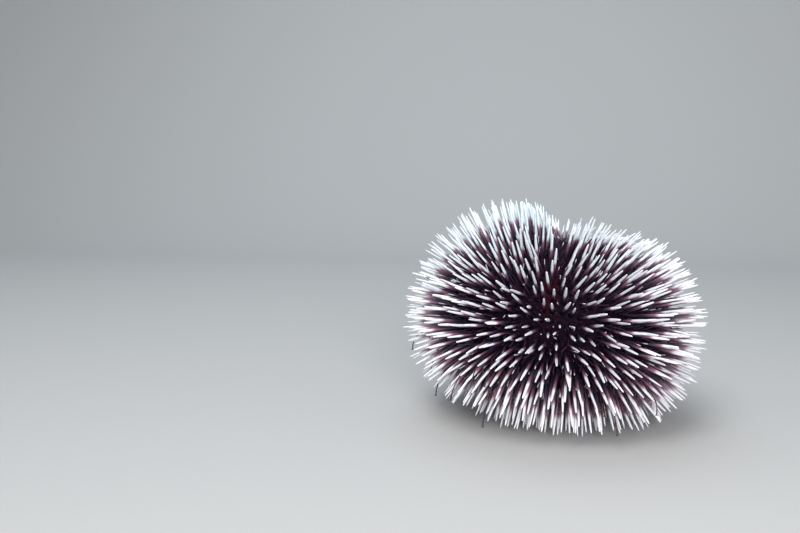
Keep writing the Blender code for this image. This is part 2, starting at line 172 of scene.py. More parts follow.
# Short spines: shares of the mean length to draw from, the least part of such a share and how much more there
# may be, how far they stand from their cells' middles, and how many times more wildly they lean
SHORT_LENGTHS = (0.45, 0.8, 1.0, 1.2)
SHORT_LEAST = 0.85
SHORT_SPREAD = 0.3
SHORT_SHIFT = 0.5
SHORT_WILDNESS = 2.5

# How much of a spine is white, from the way it points, and how cool its tip is: painted skylight, a cool tint
# on the tips that point up and a little more on those that point left, standing in for light from above
WHITE_SHARE = 0.33
WHITE_MORE_UP = 0.14
WHITE_MORE_IN_FRONT = 0.09
WHITE_SCATTER = 0.04
NO_WHITE = -0.3
SHORT_WHITE_CHANCE = 0.2
SHORT_WHITE = 0.8
PAINTED_SKYLIGHT_POWER = 1.6
PAINTED_SKYLIGHT_MORE_LEFT = 0.1

# Where a spine's colours change, in shares of its length: from root to shaft, counted from the root, and then
# to the mauve fade and to the white, counted from the start of the white
# The dark root colour is painted shade: the base of each spine is darkened for the shade deep in the crowded
# coat
ROOT_SPAN = (0.0, 0.5)
FADE_SPAN = (-0.40, 0.02)
WHITE_SPAN = (-0.07, 0.08)
FADE_EASE = 1.7

# Mottling: its detail, and the span of its noise that goes from dark to pale
PATCH_DETAIL = 5.0
PATCH_SPAN = (0.38, 0.68)
SPINE_PORE_DEPTH = 0.3
SKIN_PORE_DEPTH = 0.5
PORES_TO_GROOVES = 4

# Surfaces: how much rougher the pale patches are, and the strength and depth in metres of the bumps
SPINE_SURFACE = {"spread": 0.18, "strength": 0.35, "depth": 0.0001}
SKIN_SURFACE = {"spread": 0.2, "strength": 0.6, "depth": 0.0002}
SPINE_COAT = 0.4
SPINE_COAT_ROUGHNESS = 0.12

# Mottled materials: scales of patches and pores, how far paleness follows the mesh, roughness and shine
MOTTLED = {
    "violet_skin": (260.0, 1500.0, 0.3, 0.6, 0.04),
    "tube_foot": (900.0, 5000.0, 0.8, 0.3, 0.5),
    "crown_plate": (500.0, 3000.0, 0.6, 0.45, 0.5),
    "mouth_skin": (400.0, 2500.0, 0.5, 0.35, 0.5),
    "tooth_enamel": (600.0, 4000.0, 0.8, 0.25, 0.5),
}

# What the spines' colours follow: the values of their mesh, and the colours of their settings
# Cool and the last tip colour carry painted skylight: a cool tint on the tips that point up, standing in for
# light from above
SPINE_VALUES = ("Along", "White Share", "Tone", "Cool")
# Root is painted shade at the spines' bases
SPINE_COLOURS = ("Root", "Shaft", "Warm Shaft", "Fade", "Tip", "Dull Tip", "Cool Tip")

# Patch of a tube in the bake map: its share of its cell, and the disc of each end cap in its own end
PATCH_SIZE = (0.8, 0.7)
CAP_LENGTH = 0.06
CAP_MIDDLE = (0.45, 0.5)
CAP_RADIUS = 0.4

# Tubercles, as distance from the root's middle and height over the skin
TUBERCLE_OUTLINE = (
    (0.0015, -0.0003),
    (0.0013, 0.00025),
    (0.0007, 0.0006),
    (0.00075, 0.0009),
    (0.0004, 0.0012),
)
TUBERCLE_SIDES = 8

# Crown plates: five large ones, five small ones further out and the inner ones round the vent
CROWN_PLATE_DOME = 0.0012
LARGE_PLATE_REACH = 0.0041
SMALL_PLATE_REACH = 0.0059
INNER_PLATES = 11
INNER_PLATE_REACH = 0.0024
PLATE_SUTURE = 0.0005
PLATE_HEIGHT = 0.0003
PORE_REACH = 0.0050
PORE_RADIUS = 0.00035
PORE_DEPTH = 0.0003
VENT_RADIUS = 0.0006
VENT_HEIGHT = 0.0005
CROWN_RIM_STEEPNESS = 12

# Mouth, with a pair of small plates on each narrow zone
MEMBRANE_SAG = 0.0012
MEMBRANE_RIM_STEEPNESS = 8
LIP_RADIUS = 0.0040
LIP_THICKNESS = 0.0011
WRINKLES = 7
WRINKLE_HEIGHT = 0.00015
WRINKLE_WAVE = 0.8
MOUTH_PLATE_RADIUS = 0.0011
MOUTH_PLATE_HEIGHT = 0.0005
MOUTH_PLATE_EDGE = 1.4
MOUTH_PLATE_RING = 0.0072
MOUTH_PLATE_SPREAD = 0.16
DISC_TURN = 160
DISC_RINGS = 40
DISC_MIDDLE_SHARE = 0.02

# Teeth: places along one with their widths, and the outline of the socket, all as shares of radius and length
TOOTH_SPREAD = (0.0012, 0.00055)
TOOTH_SHOW = 0.0029
TOOTH_BOW = 0.0004
TOOTH_RADIUS = 0.0012
TOOTH_SHARES = (0.0, 0.6, 0.93, 1.0)
TOOTH_WIDTHS = (0.62, 0.6, 0.5, 0.3)
TOOTH_RINGS = 14
TOOTH_SIDES = 12
TOOTH_FLATNESS = 0.75
TOOTH_PALE_RISE = 1.6
SOCKET_OUTLINE = ((0.7, 0.0), (1.0, 0.15), (1.0, 0.8), (0.8, 1.0))
SOCKET_RADIUS = 0.0026
SOCKET_THICKNESS = 0.0016
SOCKET_SIDES = 32

# Tube feet, and their discs as shares of thickness and radius
FOOT_ANGLES = [math.radians(angle) for angle in (-16.0, -28.0, -41.0)]
FOOT_OFFSET = 0.45
FOOT_RADIUS = 0.00029
FOOT_ROOT_WIDTH = 1.15
FOOT_NARROWING = 0.3
FOOT_RIPPLE = 0.12
FOOT_RIPPLE_STEP = 2.3
FOOT_REACH = 0.0205
FOOT_HANG = 0.0085
FOOT_POINTS = 16
FOOT_STRAIGHTNESS = 0.8
FOOT_WAVE = 0.0011
FOOT_WAVE_SHARES = (0.3, 1.0)
FOOT_WAVE_TURN = 5.0
FOOT_SIDES = 8
HIDDEN_FOOT_REACHES = (0.4, 0.62)
SUCKER_OUTLINE = ((0.3, 0.6), (0.6, 0.95), (1.0, 1.0), (1.1, 0.5))
SUCKER_RADIUS = 0.00062
SUCKER_THICKNESS = 0.0005
FLOOR_CLEARANCE = 0.0011

# Seeds, one for each kind of draw
LONG_SEED = 7
SWEEP_SEED = 2
SHAPE_SEED = 100
SHORT_SEED = 200
FOOT_SEED = 300

# Camera: where the middle of the animal stands in the picture
PICTURE_SIZE = (800, 533)
ANIMAL_PIXEL = (553.0, 306.0)
SENSOR_WIDTH = 36.0
NEAREST_VIEW = 0.01

# Floor, with the sweep that it makes behind the animal
FLOOR_REACH = 4.0
FLOOR_ROUGHNESS = 0.8
SWEEP_START = 0.55
SWEEP_RADIUS = 0.40
SWEEP_STEPS = 24

# Lights: name, place, aim, size and colour. Their powers are in the settings, by their names.
LIGHTS = (
    ("key", (-0.18, -0.45, 0.84), (0.0, 0.0, 0.05), 0.5, (1.0, 0.99, 0.96)),
    ("fill", (0.15, -0.75, 0.30), (0.0, 0.0, 0.05), 0.35, (1.0, 0.97, 0.97)),
    ("sky", (-0.15, 0.40, 0.95), (0.0, 0.30, 0.0), 0.8, (0.78, 0.90, 1.0)),
)
STUDIO_COLOUR = (0.80, 0.86, 0.90)
STUDIO_LIGHT = 0.55


class SpineSettings(PropertyGroup):
    """Sizes and colours of the spines."""

    length: FloatProperty(
        name="Length", description="Length of a long spine", default=0.0205, unit="LENGTH"
    )
    shaft_radius: FloatProperty(
        name="Shaft radius", description="Radius of a long spine", default=0.00062, unit="LENGTH"
    )
    pitch: FloatProperty(
        name="Pitch", description="Distance between neighbouring roots", default=0.00420, unit="LENGTH"
    )
    length_scatter: FloatProperty(
        name="Length scatter", description="Share by which lengths vary", default=0.09, subtype="FACTOR"
    )
    tilt_scatter: FloatProperty(
        name="Tilt scatter",
        description="How far a spine leans from its neighbours",
        default=math.radians(3.8),
        subtype="ANGLE",
    )
    sweep: FloatProperty(
        name="Sweep",
        description="How far whole patches of spines lean together",
        default=math.radians(5.0),
        subtype="ANGLE",
    )
    short_length: FloatProperty(
        name="Short length", description="Mean length of a short spine", default=0.0085, unit="LENGTH"
    )
    short_pitch: FloatProperty(
        name="Short pitch",
        description="Distance between neighbouring short spines",
        default=0.0027,
        unit="LENGTH",
    )
    short_radius: FloatProperty(
        name="Short radius", description="Radius of a short spine", default=0.00030, unit="LENGTH"
    )
    tip_colour: FloatVectorProperty(
        name="Tip", description="Colour of the tips", default=(0.92, 0.92, 0.95), subtype="COLOR"
    )
    dull_tip_colour: FloatVectorProperty(
        name="Dull tip", description="Colour of the dullest tips", default=(0.66, 0.65, 0.72), subtype="COLOR"
    )
    # Painted skylight: the cool colour that tips pointing up are tinted toward, standing in for cool light
    # from above
    cool_tip_colour: FloatVectorProperty(
        name="Painted sky tint",
        description="Colour of the tips round the crown",
        default=(0.78, 0.89, 0.95),
        subtype="COLOR",
    )
    fade_colour: FloatVectorProperty(
        name="Fade", description="Colour between tip and shaft", default=(0.27, 0.13, 0.19), subtype="COLOR"
    )
    shaft_colour: FloatVectorProperty(
        name="Shaft", description="Colour of the shafts", default=(0.030, 0.029, 0.064), subtype="COLOR"
    )
    warm_shaft_colour: FloatVectorProperty(
        name="Warm shaft",
        description="Colour of the redder shafts",
        default=(0.070, 0.022, 0.046),
        subtype="COLOR",
    )
    # Painted shade: the near-black colour at the spines' roots stands in for the shade deep in the crowded
    # coat
    root_colour: FloatVectorProperty(
        name="Root", description="Colour of the roots", default=(0.006, 0.0045, 0.012), subtype="COLOR"
    )


class BodySettings(PropertyGroup):
    """Colours of the skin, the crown, the mouth and the feet."""

    # Partly the skin's own dark violet, partly painted shade: darker than the skin is, for the shade deep in
    # the coat between the spines
    skin_and_shade_colour: FloatVectorProperty(
        name="Skin", description="Colour of the skin", default=(0.0015, 0.001, 0.005), subtype="COLOR"
    )
    skin_mottle: FloatVectorProperty(
        name="Mottle",
        description="Colour of the skin's paler mottles",
        default=(0.016, 0.005, 0.013),
        subtype="COLOR",
    )
    flush_colour: FloatVectorProperty(
        name="Flush",
        description="Colour of the skin down the furrow",
        default=(0.026, 0.002, 0.005),
        subtype="COLOR",
    )
    plate_colour: FloatVectorProperty(
        name="Plates",
        description="Colour of the crown plates",
        default=(0.045, 0.014, 0.024),
        subtype="COLOR",
    )
    membrane_colour: FloatVectorProperty(
        name="Membrane",
        description="Colour of the mouth's skin",
        default=(0.16, 0.035, 0.045),
        subtype="COLOR",
    )
    tooth_colour: FloatVectorProperty(
        name="Teeth", description="Colour of the teeth", default=(0.85, 0.81, 0.70), subtype="COLOR"
    )
    tooth_root_colour: FloatVectorProperty(
        name="Tooth roots",
        description="Colour of the teeth's roots",
        default=(0.42, 0.33, 0.24),
        subtype="COLOR",
    )
    sucker_colour: FloatVectorProperty(
        name="Suckers",
        description="Colour of the feet's discs",
        default=(0.06, 0.018, 0.022),
        subtype="COLOR",
    )
    foot_colour: FloatVectorProperty(
        name="Feet", description="Colour of the tube feet", default=(0.028, 0.005, 0.009), subtype="COLOR"
    )
    hidden_feet: IntProperty(
        name="Hidden feet", description="Tube feet on each narrow zone that end between the spines", default=8
    )


class StudioSettings(PropertyGroup):
    """The floor, the lights and the camera."""

    floor_colour: FloatVectorProperty(
        name="Floor", description="Colour of the floor", default=(0.42, 0.42, 0.42), subtype="COLOR"
    )
    key_power: FloatProperty(
        name="Key light", description="Power of the large light above", default=5.3, unit="POWER"
    )
    sky_power: FloatProperty(
        name="Sky light", description="Power of the cool light behind", default=4.0, unit="POWER"
    )
    fill_power: FloatProperty(
        name="Fill light", description="Power of the light beside the camera", default=5.7, unit="POWER"
    )
    lens: FloatProperty(name="Lens", description="Focal length", default=44.0, unit="CAMERA")
    distance: FloatProperty(
        name="Distance", description="From the camera to the animal", default=0.475, unit="LENGTH"
    )
    elevation: FloatProperty(
        name="Elevation",
        description="How far the camera looks down on the animal",
        default=math.radians(10.0),
        subtype="ANGLE",
    )


def shell_halves(up):
    """Rise and power of the shell's outline, where up is true above the girdle."""
    return np.where(up, CROWN_RISE, BASE_DROP), np.where(up, CROWN_POWER, BASE_POWER)


def shell_point(angle):
    """Radius and height of the shell's outline at an angle from its girdle: +90 degrees is the crown."""
    angle = np.asarray(angle, float)
    rise, power = shell_halves(angle > 0)
    radius = SHELL_RADIUS * np.abs(np.cos(angle)) ** (2 / power)
    height = np.sign(angle) * rise * np.abs(np.sin(angle)) ** (2 / power)
    return radius, height


def shell_slope(radius, height):
    """Angle of the shell's normal above the horizontal."""
    rise, power = shell_halves(np.asarray(height) > 0)
    out = (radius / SHELL_RADIUS) ** (power - 1) / SHELL_RADIUS
    up = np.sign(height) * (np.abs(height) / rise) ** (power - 1) / rise
    return np.arctan2(up, out)


def polar(reach, heading, height):
    """The point at this distance from the axis, on the side that this azimuth faces."""
    return Vector((reach * math.cos(heading), reach * math.sin(heading), height))


def shell_root(angle, heading):
    """The shell's point at an angle from its girdle, on the side that this azimuth faces."""
    radius, height = (float(value) for value in shell_point(angle))
    return polar(radius, heading, height)


def distances(x, y, reach, heading):
    """How far points seen from above are from the one at this distance from the axis and on this azimuth."""
    return np.hypot(x - reach * math.cos(heading), y - reach * math.sin(heading))


def angle_at_radius(radius, side):
    """The outline's angle where it has this radius, on the crown (side 1) or the base (side -1)."""
    power = CROWN_POWER if side > 0 else BASE_POWER
    return side * math.acos((radius / SHELL_RADIUS) ** (power / 2))


def rim_height(radius, side):
    """The outline's height where it has this radius, on the crown (side 1) or the base (side -1)."""
    return float(shell_point(angle_at_radius(radius, side))[1])


def outline_angles(shares):
    """Outline angles at these shares of the way from the crown to the mouth, and the length of that way."""
    ends = angle_at_radius(CROWN_PLATE_RADIUS, 1), angle_at_radius(MOUTH_RADIUS, -1)
    angles = np.linspace(*ends, OUTLINE_SAMPLES + 1)
    radius, height = shell_point(angles)
    steps = np.hypot(np.diff(radius), np.diff(height))
    reached = np.concatenate([[0.0], np.cumsum(steps)])
    return np.interp(np.asarray(shares) * reached[-1], reached, angles), reached[-1]


def zones():
    """Name, middle azimuth and half width of each of the ten zones."""
    pair_turn = 2 * math.pi / ZONE_PAIRS
    half_turn = NARROW_HALF_WIDTH + WIDE_HALF_WIDTH
    for i in range(ZONE_PAIRS):
        middle = FIRST_WIDE_AZIMUTH + i * pair_turn
        yield f"interambulacrum_{i + 1}", middle, WIDE_HALF_WIDTH
        yield f"ambulacrum_{i + 1}", middle + half_turn, NARROW_HALF_WIDTH


def zone_names(width=None):
    """Names of the zones with this half width, or of all ten."""
    return [name for name, _, half_width in zones() if width in (None, half_width)]


def zone_middles(width):
    """Middle azimuths of the zones with this half width."""
    return [middle for _, middle, half_width in zones() if half_width == width]


def stance_matrix():
    """Carries a piece from the upright axis to where the solids stand, found from the crown's disc."""
    back = Matrix.Rotation(-LEAN_BACK, 4, "X")
    side = Matrix.Rotation(LEAN_SIDE, 4, "Y")
    lean = Matrix.Translation((0.0, 0.0, GIRDLE_HEIGHT)) @ side @ back
    disc_height = rim_height(CROWN_PLATE_RADIUS, 1) - (CROWN_PLATE_DEPTH - GAP) / 2
    low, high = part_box("apical_disc")
    shift = (low + high) / 2 - lean @ Vector((0.0, 0.0, disc_height))
    return Matrix.Translation((shift.x, shift.y, 0.0)) @ lean


STANCE = stance_matrix()


def add_object(name, data):
    """A new object of the scene, from its mesh, light or camera."""
    thing = bpy.data.objects.new(name, data)
    bpy.context.scene.collection.objects.link(thing)
    return thing


def add_piece(name, mesh, material, nodes):
    """Makes a piece from a mesh shaped round the upright axis, and sets it on the frame, above the floor."""
    if not mesh.polygons:
        raise RuntimeError(f"{name} has no faces")
    if name in bpy.data.objects:
        bpy.data.objects.remove(bpy.data.objects[name])
    mesh.transform(STANCE)
    corners = np.empty(len(mesh.vertices) * 3, np.float32)
    mesh.vertices.foreach_get("co", corners)
    corners[2::3] = np.maximum(corners[2::3], 0.0)
    mesh.vertices.foreach_set("co", corners)
    mesh.materials.append(material)
    piece = add_object(name, mesh)
    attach(piece, BODY)
    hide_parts(*nodes)


def make_mesh(name, corners, faces, values=None, bake_uvs=None):
    """A smooth mesh, with numbers at its corners for a material to read, by name, and the OFBake map."""
    mesh = bpy.data.meshes.new(name)
    mesh.from_pydata(np.asarray(corners).tolist(), [], faces)
    mesh.shade_smooth()
    for label, numbers in (values or {}).items():
        attribute = mesh.attributes.new(label, "FLOAT", "POINT")
        attribute.data.foreach_set("value", np.asarray(numbers, np.float32).ravel())
    if bake_uvs is not None:
        layer = mesh.uv_layers.new(name="OFBake")
        layer.data.foreach_set("uv", np.asarray(bake_uvs, np.float32).ravel())
    return mesh


def turns(count):
    """Angles of a full turn in equal steps."""
    return np.arange(count) * 2 * math.pi / count


def spun(angles, aside, across):
    """Ways round each tube at these angles, from the two ways that its cross-section lies along."""
    return np.cos(angles)[..., None] * aside[:, None, :] + np.sin(angles)[..., None] * across[:, None, :]


def grid_faces(rows, columns, closed=False):
    """Quads of a grid that closes on itself across its columns, and if closed then from last row to first."""
    faces = []
    for row in range(rows if closed else rows - 1):
        low = row * columns
        high = (row + 1) % rows * columns
        for column in range(columns):
            right = (column + 1) % columns
            faces.append((low + column, high + column, high + right, low + right))
    return faces


def grid_uvs(u, v):
    """The (u, v) of each corner of grid_faces, from a grid of u and of v with one more column at the seam."""
    grid = np.stack([u, v], axis=-1)
    quads = np.stack([grid[:-1, :-1], grid[1:, :-1], grid[1:, 1:], grid[:-1, 1:]], axis=2)
    return quads.reshape(-1, 2)


def tube_faces(count, rings, sides):
    """Faces of many closed tubes with the same rings, whose corners come tube after tube."""
    quads = np.array(grid_faces(rings, sides))
    root_cap = np.arange(sides)
    tip_cap = (rings - 1) * sides + np.arange(sides)[::-1]
    faces = []
    for first in range(0, count * rings * sides, rings * sides):
        faces.extend(map(tuple, (quads + first).tolist()))
        faces.append(tuple((root_cap + first).tolist()))
        faces.append(tuple((tip_cap + first).tolist()))
    return faces


def tube_corners(points, radii, sides, reference, flatness=1.0):
    """Rings of corners along a path. A flatness under 1 makes the tube thinner along its second side."""
    points = np.array([tuple(point) for point in points])
    ways = np.gradient(points, axis=0)
    ways /= np.linalg.norm(ways, axis=1)[:, None]
    aside = np.cross(ways, reference)
    aside /= np.linalg.norm(aside, axis=1)[:, None]
    across = np.cross(ways, aside) * flatness
    return points[:, None, :] + spun(turns(sides), aside, across) * np.asarray(radii)[:, None, None]


def patch_uvs(cells, share, sides):
    """One flat patch for each tube, at its root's cell of the unwrap, with its length along u."""
    along = CAP_LENGTH + (1 - 2 * CAP_LENGTH) * (share - share[0]) / (share[-1] - share[0])
    v, u = np.meshgrid(np.arange(sides + 1) / sides, along)
    cap_u = CAP_LENGTH * (CAP_MIDDLE[0] + CAP_RADIUS * np.cos(turns(sides)))
    cap_v = CAP_MIDDLE[1] + CAP_RADIUS * np.sin(turns(sides))
    root_cap, tip_cap = (np.stack([end, cap_v], axis=1) for end in (cap_u, 1 - cap_u))
    unit = np.concatenate([grid_uvs(u, v), root_cap, tip_cap]) - 0.5
    return np.concatenate([np.array(cell) + unit * (np.array(size) * PATCH_SIZE) for cell, size in cells])


def polar_rows(rows, columns):
    """Corners of rings round the axis, from each one's radius and height, which may both vary round it."""
    corners = []
    for radius, height in rows:
        x, y = radius * np.cos(turns(columns)), radius * np.sin(turns(columns))
        corners.append(np.stack([x, y, np.broadcast_to(height, columns)], axis=1))
    return np.concatenate(corners)


def new_material(name):
    material = bpy.data.materials.new(name)
    material.use_nodes = True
    return material, material.node_tree.nodes


def feed(socket, value):
    """Links a node's output to a socket, or sets the socket to a number or a colour."""
    if isinstance(value, bpy.types.NodeSocket):
        socket.id_data.links.new(value, socket)
    elif isinstance(value, (int, float)):
        socket.default_value = value
    else:
        socket.default_value = (*value, 1.0)


def math_node(nodes, operation, first, second):
    """Result of one step of arithmetic."""
    node = nodes.new("ShaderNodeMath")
    node.operation = operation
    feed(node.inputs[0], first)
    feed(node.inputs[1], second)
    return node.outputs["Value"]


def ranged(nodes, value, source=(0.0, 1.0), target=(0.0, 1.0), kind="LINEAR"):
    """A value carried from one span to another, and held inside it."""
    node = nodes.new("ShaderNodeMapRange")
    node.interpolation_type = kind
    feed(node.inputs["Value"], value)
    feed(node.inputs["From Min"], source[0])
    feed(node.inputs["From Max"], source[1])
    feed(node.inputs["To Min"], target[0])
    feed(node.inputs["To Max"], target[1])
    return node.outputs["Result"]


def blended(nodes, factor, first, second):
    """A blend of two colours."""
    node = nodes.new("ShaderNodeMix")
    node.data_type = "RGBA"
    colours = [socket for socket in node.inputs if socket.type == "RGBA"]
    feed(next(s for s in node.inputs if s.name == "Factor" and s.type == "VALUE"), factor)
    feed(colours[0], first)
    feed(colours[1], second)
    return next(s for s in node.outputs if s.type == "RGBA")


def new_group(name, inputs, outputs):
    """An empty node group with sockets of these types and names, and the sockets at its two inner ends."""
    group = bpy.data.node_groups.new(name, "ShaderNodeTree")
    for end, kinds in (("INPUT", inputs), ("OUTPUT", outputs)):
        for kind, labels in kinds.items():
            for label in labels:
                group.interface.new_socket(label, in_out=end, socket_type=f"NodeSocket{kind}")
    return group, group.nodes.new("NodeGroupInput").outputs, group.nodes.new("NodeGroupOutput").inputs


def use_group(nodes, group, values):
    """Outputs of a node group that these values are fed to, by name."""
    node = nodes.new("ShaderNodeGroup")
    node.node_tree = group
    for label, value in values.items():
        feed(node.inputs[label], value)
    return node.outputs


def mesh_value(nodes, name):
    node = nodes.new("ShaderNodeAttribute")
    node.attribute_name = name
    return node.outputs["Fac"]


def grain_group():
    """Fine mottling and pores: a mask of pale patches, drawn toward the pale parts, and a bump's height."""
    found = bpy.data.node_groups.get("urchin_grain")
    if found:
        return found
    numbers = "Patch Scale", "Pore Scale", "Pore Depth", "Pale", "Pale Share"
    group, given, result = new_group("urchin_grain", {"Float": numbers}, {"Float": ("Patches", "Height")})
    nodes = group.nodes
    place = nodes.new("ShaderNodeTexCoord").outputs["Object"]
    patches = nodes.new("ShaderNodeTexNoise")
    feed(patches.inputs["Vector"], place)
    feed(patches.inputs["Scale"], given["Patch Scale"])
    feed(patches.inputs["Detail"], PATCH_DETAIL)
    pores = nodes.new("ShaderNodeTexVoronoi")
    feed(pores.inputs["Vector"], place)
    feed(pores.inputs["Scale"], given["Pore Scale"])
    toward = nodes.new("ShaderNodeMix")
    feed(toward.inputs["Factor"], given["Pale Share"])
    feed(toward.inputs["A"], ranged(nodes, patches.outputs["Fac"], PATCH_SPAN))
    feed(toward.inputs["B"], given["Pale"])
    depth = math_node(nodes, "MULTIPLY", pores.outputs["Distance"], given["Pore Depth"])
    feed(result["Patches"], toward.outputs["Result"])
    feed(result["Height"], math_node(nodes, "ADD", patches.outputs["Fac"], depth))
    return group


def banding_group():
    """The colour along a spine: a root darkened with painted shade, violet shaft, a long mauve fade and a
    white tip.
    """
    found = bpy.data.node_groups.get("spine_banding")
    if found:
        return found
    inputs = {"Float": SPINE_VALUES, "Color": SPINE_COLOURS}
    group, given, result = new_group("spine_banding", inputs, {"Color": ("Colour",)})
    nodes = group.nodes
    white_start = math_node(nodes, "SUBTRACT", 1.0, given["White Share"])
    past_start = math_node(nodes, "SUBTRACT", given["Along"], white_start)
    # Painted shade: toward its root each shaft darkens to the root colour
    clear_of_root_shade = ranged(nodes, given["Along"], ROOT_SPAN, kind="SMOOTHSTEP")
    shaft = blended(nodes, given["Tone"], given["Shaft"], given["Warm Shaft"])
    shaft = blended(nodes, clear_of_root_shade, given["Root"], shaft)
    fade = math_node(nodes, "POWER", ranged(nodes, past_start, FADE_SPAN, kind="SMOOTHSTEP"), FADE_EASE)
    faded = blended(nodes, fade, shaft, given["Fade"])
    tip = blended(nodes, given["Tone"], given["Tip"], given["Dull Tip"])
    # Painted skylight: tips that point up are tinted cool, standing in for light from above
    tip = blended(nodes, given["Cool"], tip, given["Cool Tip"])
    white = ranged(nodes, past_start, WHITE_SPAN, kind="SMOOTHSTEP")
    feed(result["Colour"], blended(nodes, white, faded, tip))
    return group


def finish_surface(nodes, colour, patches, height, roughness, spread, strength, depth):
    """Gives a shader its colour, its bumps, and a roughness that rises by the spread in pale patches."""
    bump = nodes.new("ShaderNodeBump")
    feed(bump.inputs["Strength"], strength)
    feed(bump.inputs["Distance"], depth)
    feed(bump.inputs["Height"], height)
    shader = nodes["Principled BSDF"]
    feed(shader.inputs["Base Color"], colour)
    feed(shader.inputs["Roughness"], ranged(nodes, patches, target=(roughness, roughness + spread)))
    feed(shader.inputs["Normal"], bump.outputs["Normal"])
    return shader


def plain_name(label):
    """A socket's label as a setting or a mesh's value is named: white_share for White Share."""
    return label.lower().replace(" ", "_")


def spine_material(name, settings, roughness, groove_scale):
    """Satin spine with its bands of colour, fine grain and lengthwise grooves."""
    found = bpy.data.materials.get(name)
    if found:
        return found
    material, nodes = new_material(name)
    bands = {label: mesh_value(nodes, plain_name(label)) for label in SPINE_VALUES}
    bands.update({label: getattr(settings, plain_name(label) + "_colour") for label in SPINE_COLOURS})
    colour = use_group(nodes, banding_group(), bands)["Colour"]
    pores = {"Pore Scale": groove_scale * PORES_TO_GROOVES, "Pore Depth": SPINE_PORE_DEPTH}
    grain = use_group(nodes, grain_group(), {"Patch Scale": groove_scale, **pores})
    height = math_node(nodes, "ADD", mesh_value(nodes, "ridge"), grain["Height"])
    shader = finish_surface(nodes, colour, grain["Patches"], height, roughness, **SPINE_SURFACE)
    feed(shader.inputs["Coat Weight"], SPINE_COAT)
    feed(shader.inputs["Coat Roughness"], SPINE_COAT_ROUGHNESS)
    return material


def mottled_material(name, dark, pale, flush=None):
    """Moist mottled skin or plate with pores, that follows the mesh's values "pale" and "flush"."""
    found = bpy.data.materials.get(name)
    if found:
        return found
    patch_scale, pore_scale, pale_share, roughness, shine = MOTTLED[name]
    material, nodes = new_material(name)
    mottling = {
        "Patch Scale": patch_scale,
        "Pore Scale": pore_scale,
        "Pore Depth": SKIN_PORE_DEPTH,
        "Pale": mesh_value(nodes, "pale"),
        "Pale Share": pale_share,
    }
    grain = use_group(nodes, grain_group(), mottling)
    colour = blended(nodes, grain["Patches"], dark, pale)
    if flush is not None:
        colour = blended(nodes, mesh_value(nodes, "flush"), colour, flush)
    shader = finish_surface(nodes, colour, grain["Patches"], grain["Height"], roughness, **SKIN_SURFACE)
    feed(shader.inputs["Specular IOR Level"], shine)
    return material


def skin_material(settings):
    # The skin's dark colour is partly painted shade of the deep coat
    return mottled_material("violet_skin", settings.skin_and_shade_colour, settings.skin_mottle, settings.flush_colour)


def smooth_step(values):
    values = np.clip(values, 0.0, 1.0)
    return values * values * (3 - 2 * values)


def skin_relief(azimuth, share):
    """How far the skin stands out of the plain shell: low swellings, one for each plate under it."""
    relief = np.zeros_like(azimuth)
    for _, middle, half_width in zones():
        offset = np.arctan2(np.sin(azimuth - middle), np.cos(azimuth - middle))
        across = np.abs(offset) / half_width
        along = share * PLATE_COUNT + np.where(offset > 0, 0.5, 0.0)
        plate = np.sin(np.pi * (along % 1.0)) ** PLATE_ROUNDNESS
        plate *= np.sin(np.pi * np.clip(across, 0.0, 1.0)) ** PLATE_ROUNDNESS
        relief = np.where(across < 1, PLATE_RELIEF * plate, relief)
    return relief * smooth_step(np.minimum(share, 1 - share) * RIM_STEEPNESS)


def skin_uvs(rows):
    """The skin's unwrap: azimuth along u, the way down the shell along v, and one tiny patch for its caps."""
    u, v = np.meshgrid(np.arange(SKIN_TURN + 1) / SKIN_TURN, 1 - np.arange(rows) / (rows - 1))
    # The caps are hidden, so their corners aren't unwrapped in order: each is one radian on round the patch.
    angle = np.arange(SKIN_TURN)
    cap_u = SKIN_CAP_MIDDLE[0] + SKIN_CAP_REACH[0] * np.cos(angle)
    cap_v = SKIN_CAP_MIDDLE[1] + SKIN_CAP_REACH[1] * np.sin(angle)
    cap = np.stack([cap_u, cap_v], axis=1)
    return np.concatenate([grid_uvs(u, v), cap, cap])


def build_skin(settings):
    """One closed skin over the whole shell, with the wells of the crown and the mouth."""
    shares = np.linspace(0.0, 1.0, SKIN_ROWS)
    azimuth, share = np.meshgrid(turns(SKIN_TURN), shares)
    radius, height = shell_point(outline_angles(shares)[0])
    slope = shell_slope(radius, height)
    relief = skin_relief(azimuth, share)
    out = radius[:, None] + np.cos(slope)[:, None] * relief
    up = height[:, None] + np.sin(slope)[:, None] * relief
    crown_floor, mouth_floor = height[0] - CROWN_PLATE_DEPTH, height[-1] + MOUTH_DEPTH
    rows = [(CROWN_PLATE_RADIUS * WELL_MIDDLE_SHARE, crown_floor), (CROWN_PLATE_RADIUS, crown_floor)]
    rows += zip(out, up)
    rows += [(MOUTH_RADIUS, mouth_floor), (MOUTH_RADIUS * WELL_MIDDLE_SHARE, mouth_floor)]
    corners = polar_rows(rows, SKIN_TURN)
    caps = [tuple(range(SKIN_TURN)), tuple(range(len(corners) - SKIN_TURN, len(corners)))[::-1]]

    along = (share - FLUSH_PLACE[1]) / FLUSH_REACH[1]
    aside = (out * np.cos(azimuth) - FLUSH_PLACE[0]) / FLUSH_REACH[0]
    flush = np.where(np.sin(azimuth) < 0, np.exp(-(along**2) - aside**2), 0.0)
    well = np.zeros((2, SKIN_TURN))
    values = {
        "pale": np.concatenate([well, relief / PLATE_RELIEF, well]),
        "flush": np.concatenate([well, flush, well]),
    }
    faces = grid_faces(len(rows), SKIN_TURN) + caps
    mesh = make_mesh("skin", corners, faces, values, skin_uvs(len(rows)))
    add_piece("skin", mesh, skin_material(settings), zone_names())


def offset_from(root, place, reach):
    """Way from a place to a root, seen from above, where 1 is the place's reach along x or along y."""
    return Vector(((root.x - place[0]) / reach[0], (root.y - place[1]) / reach[1]))


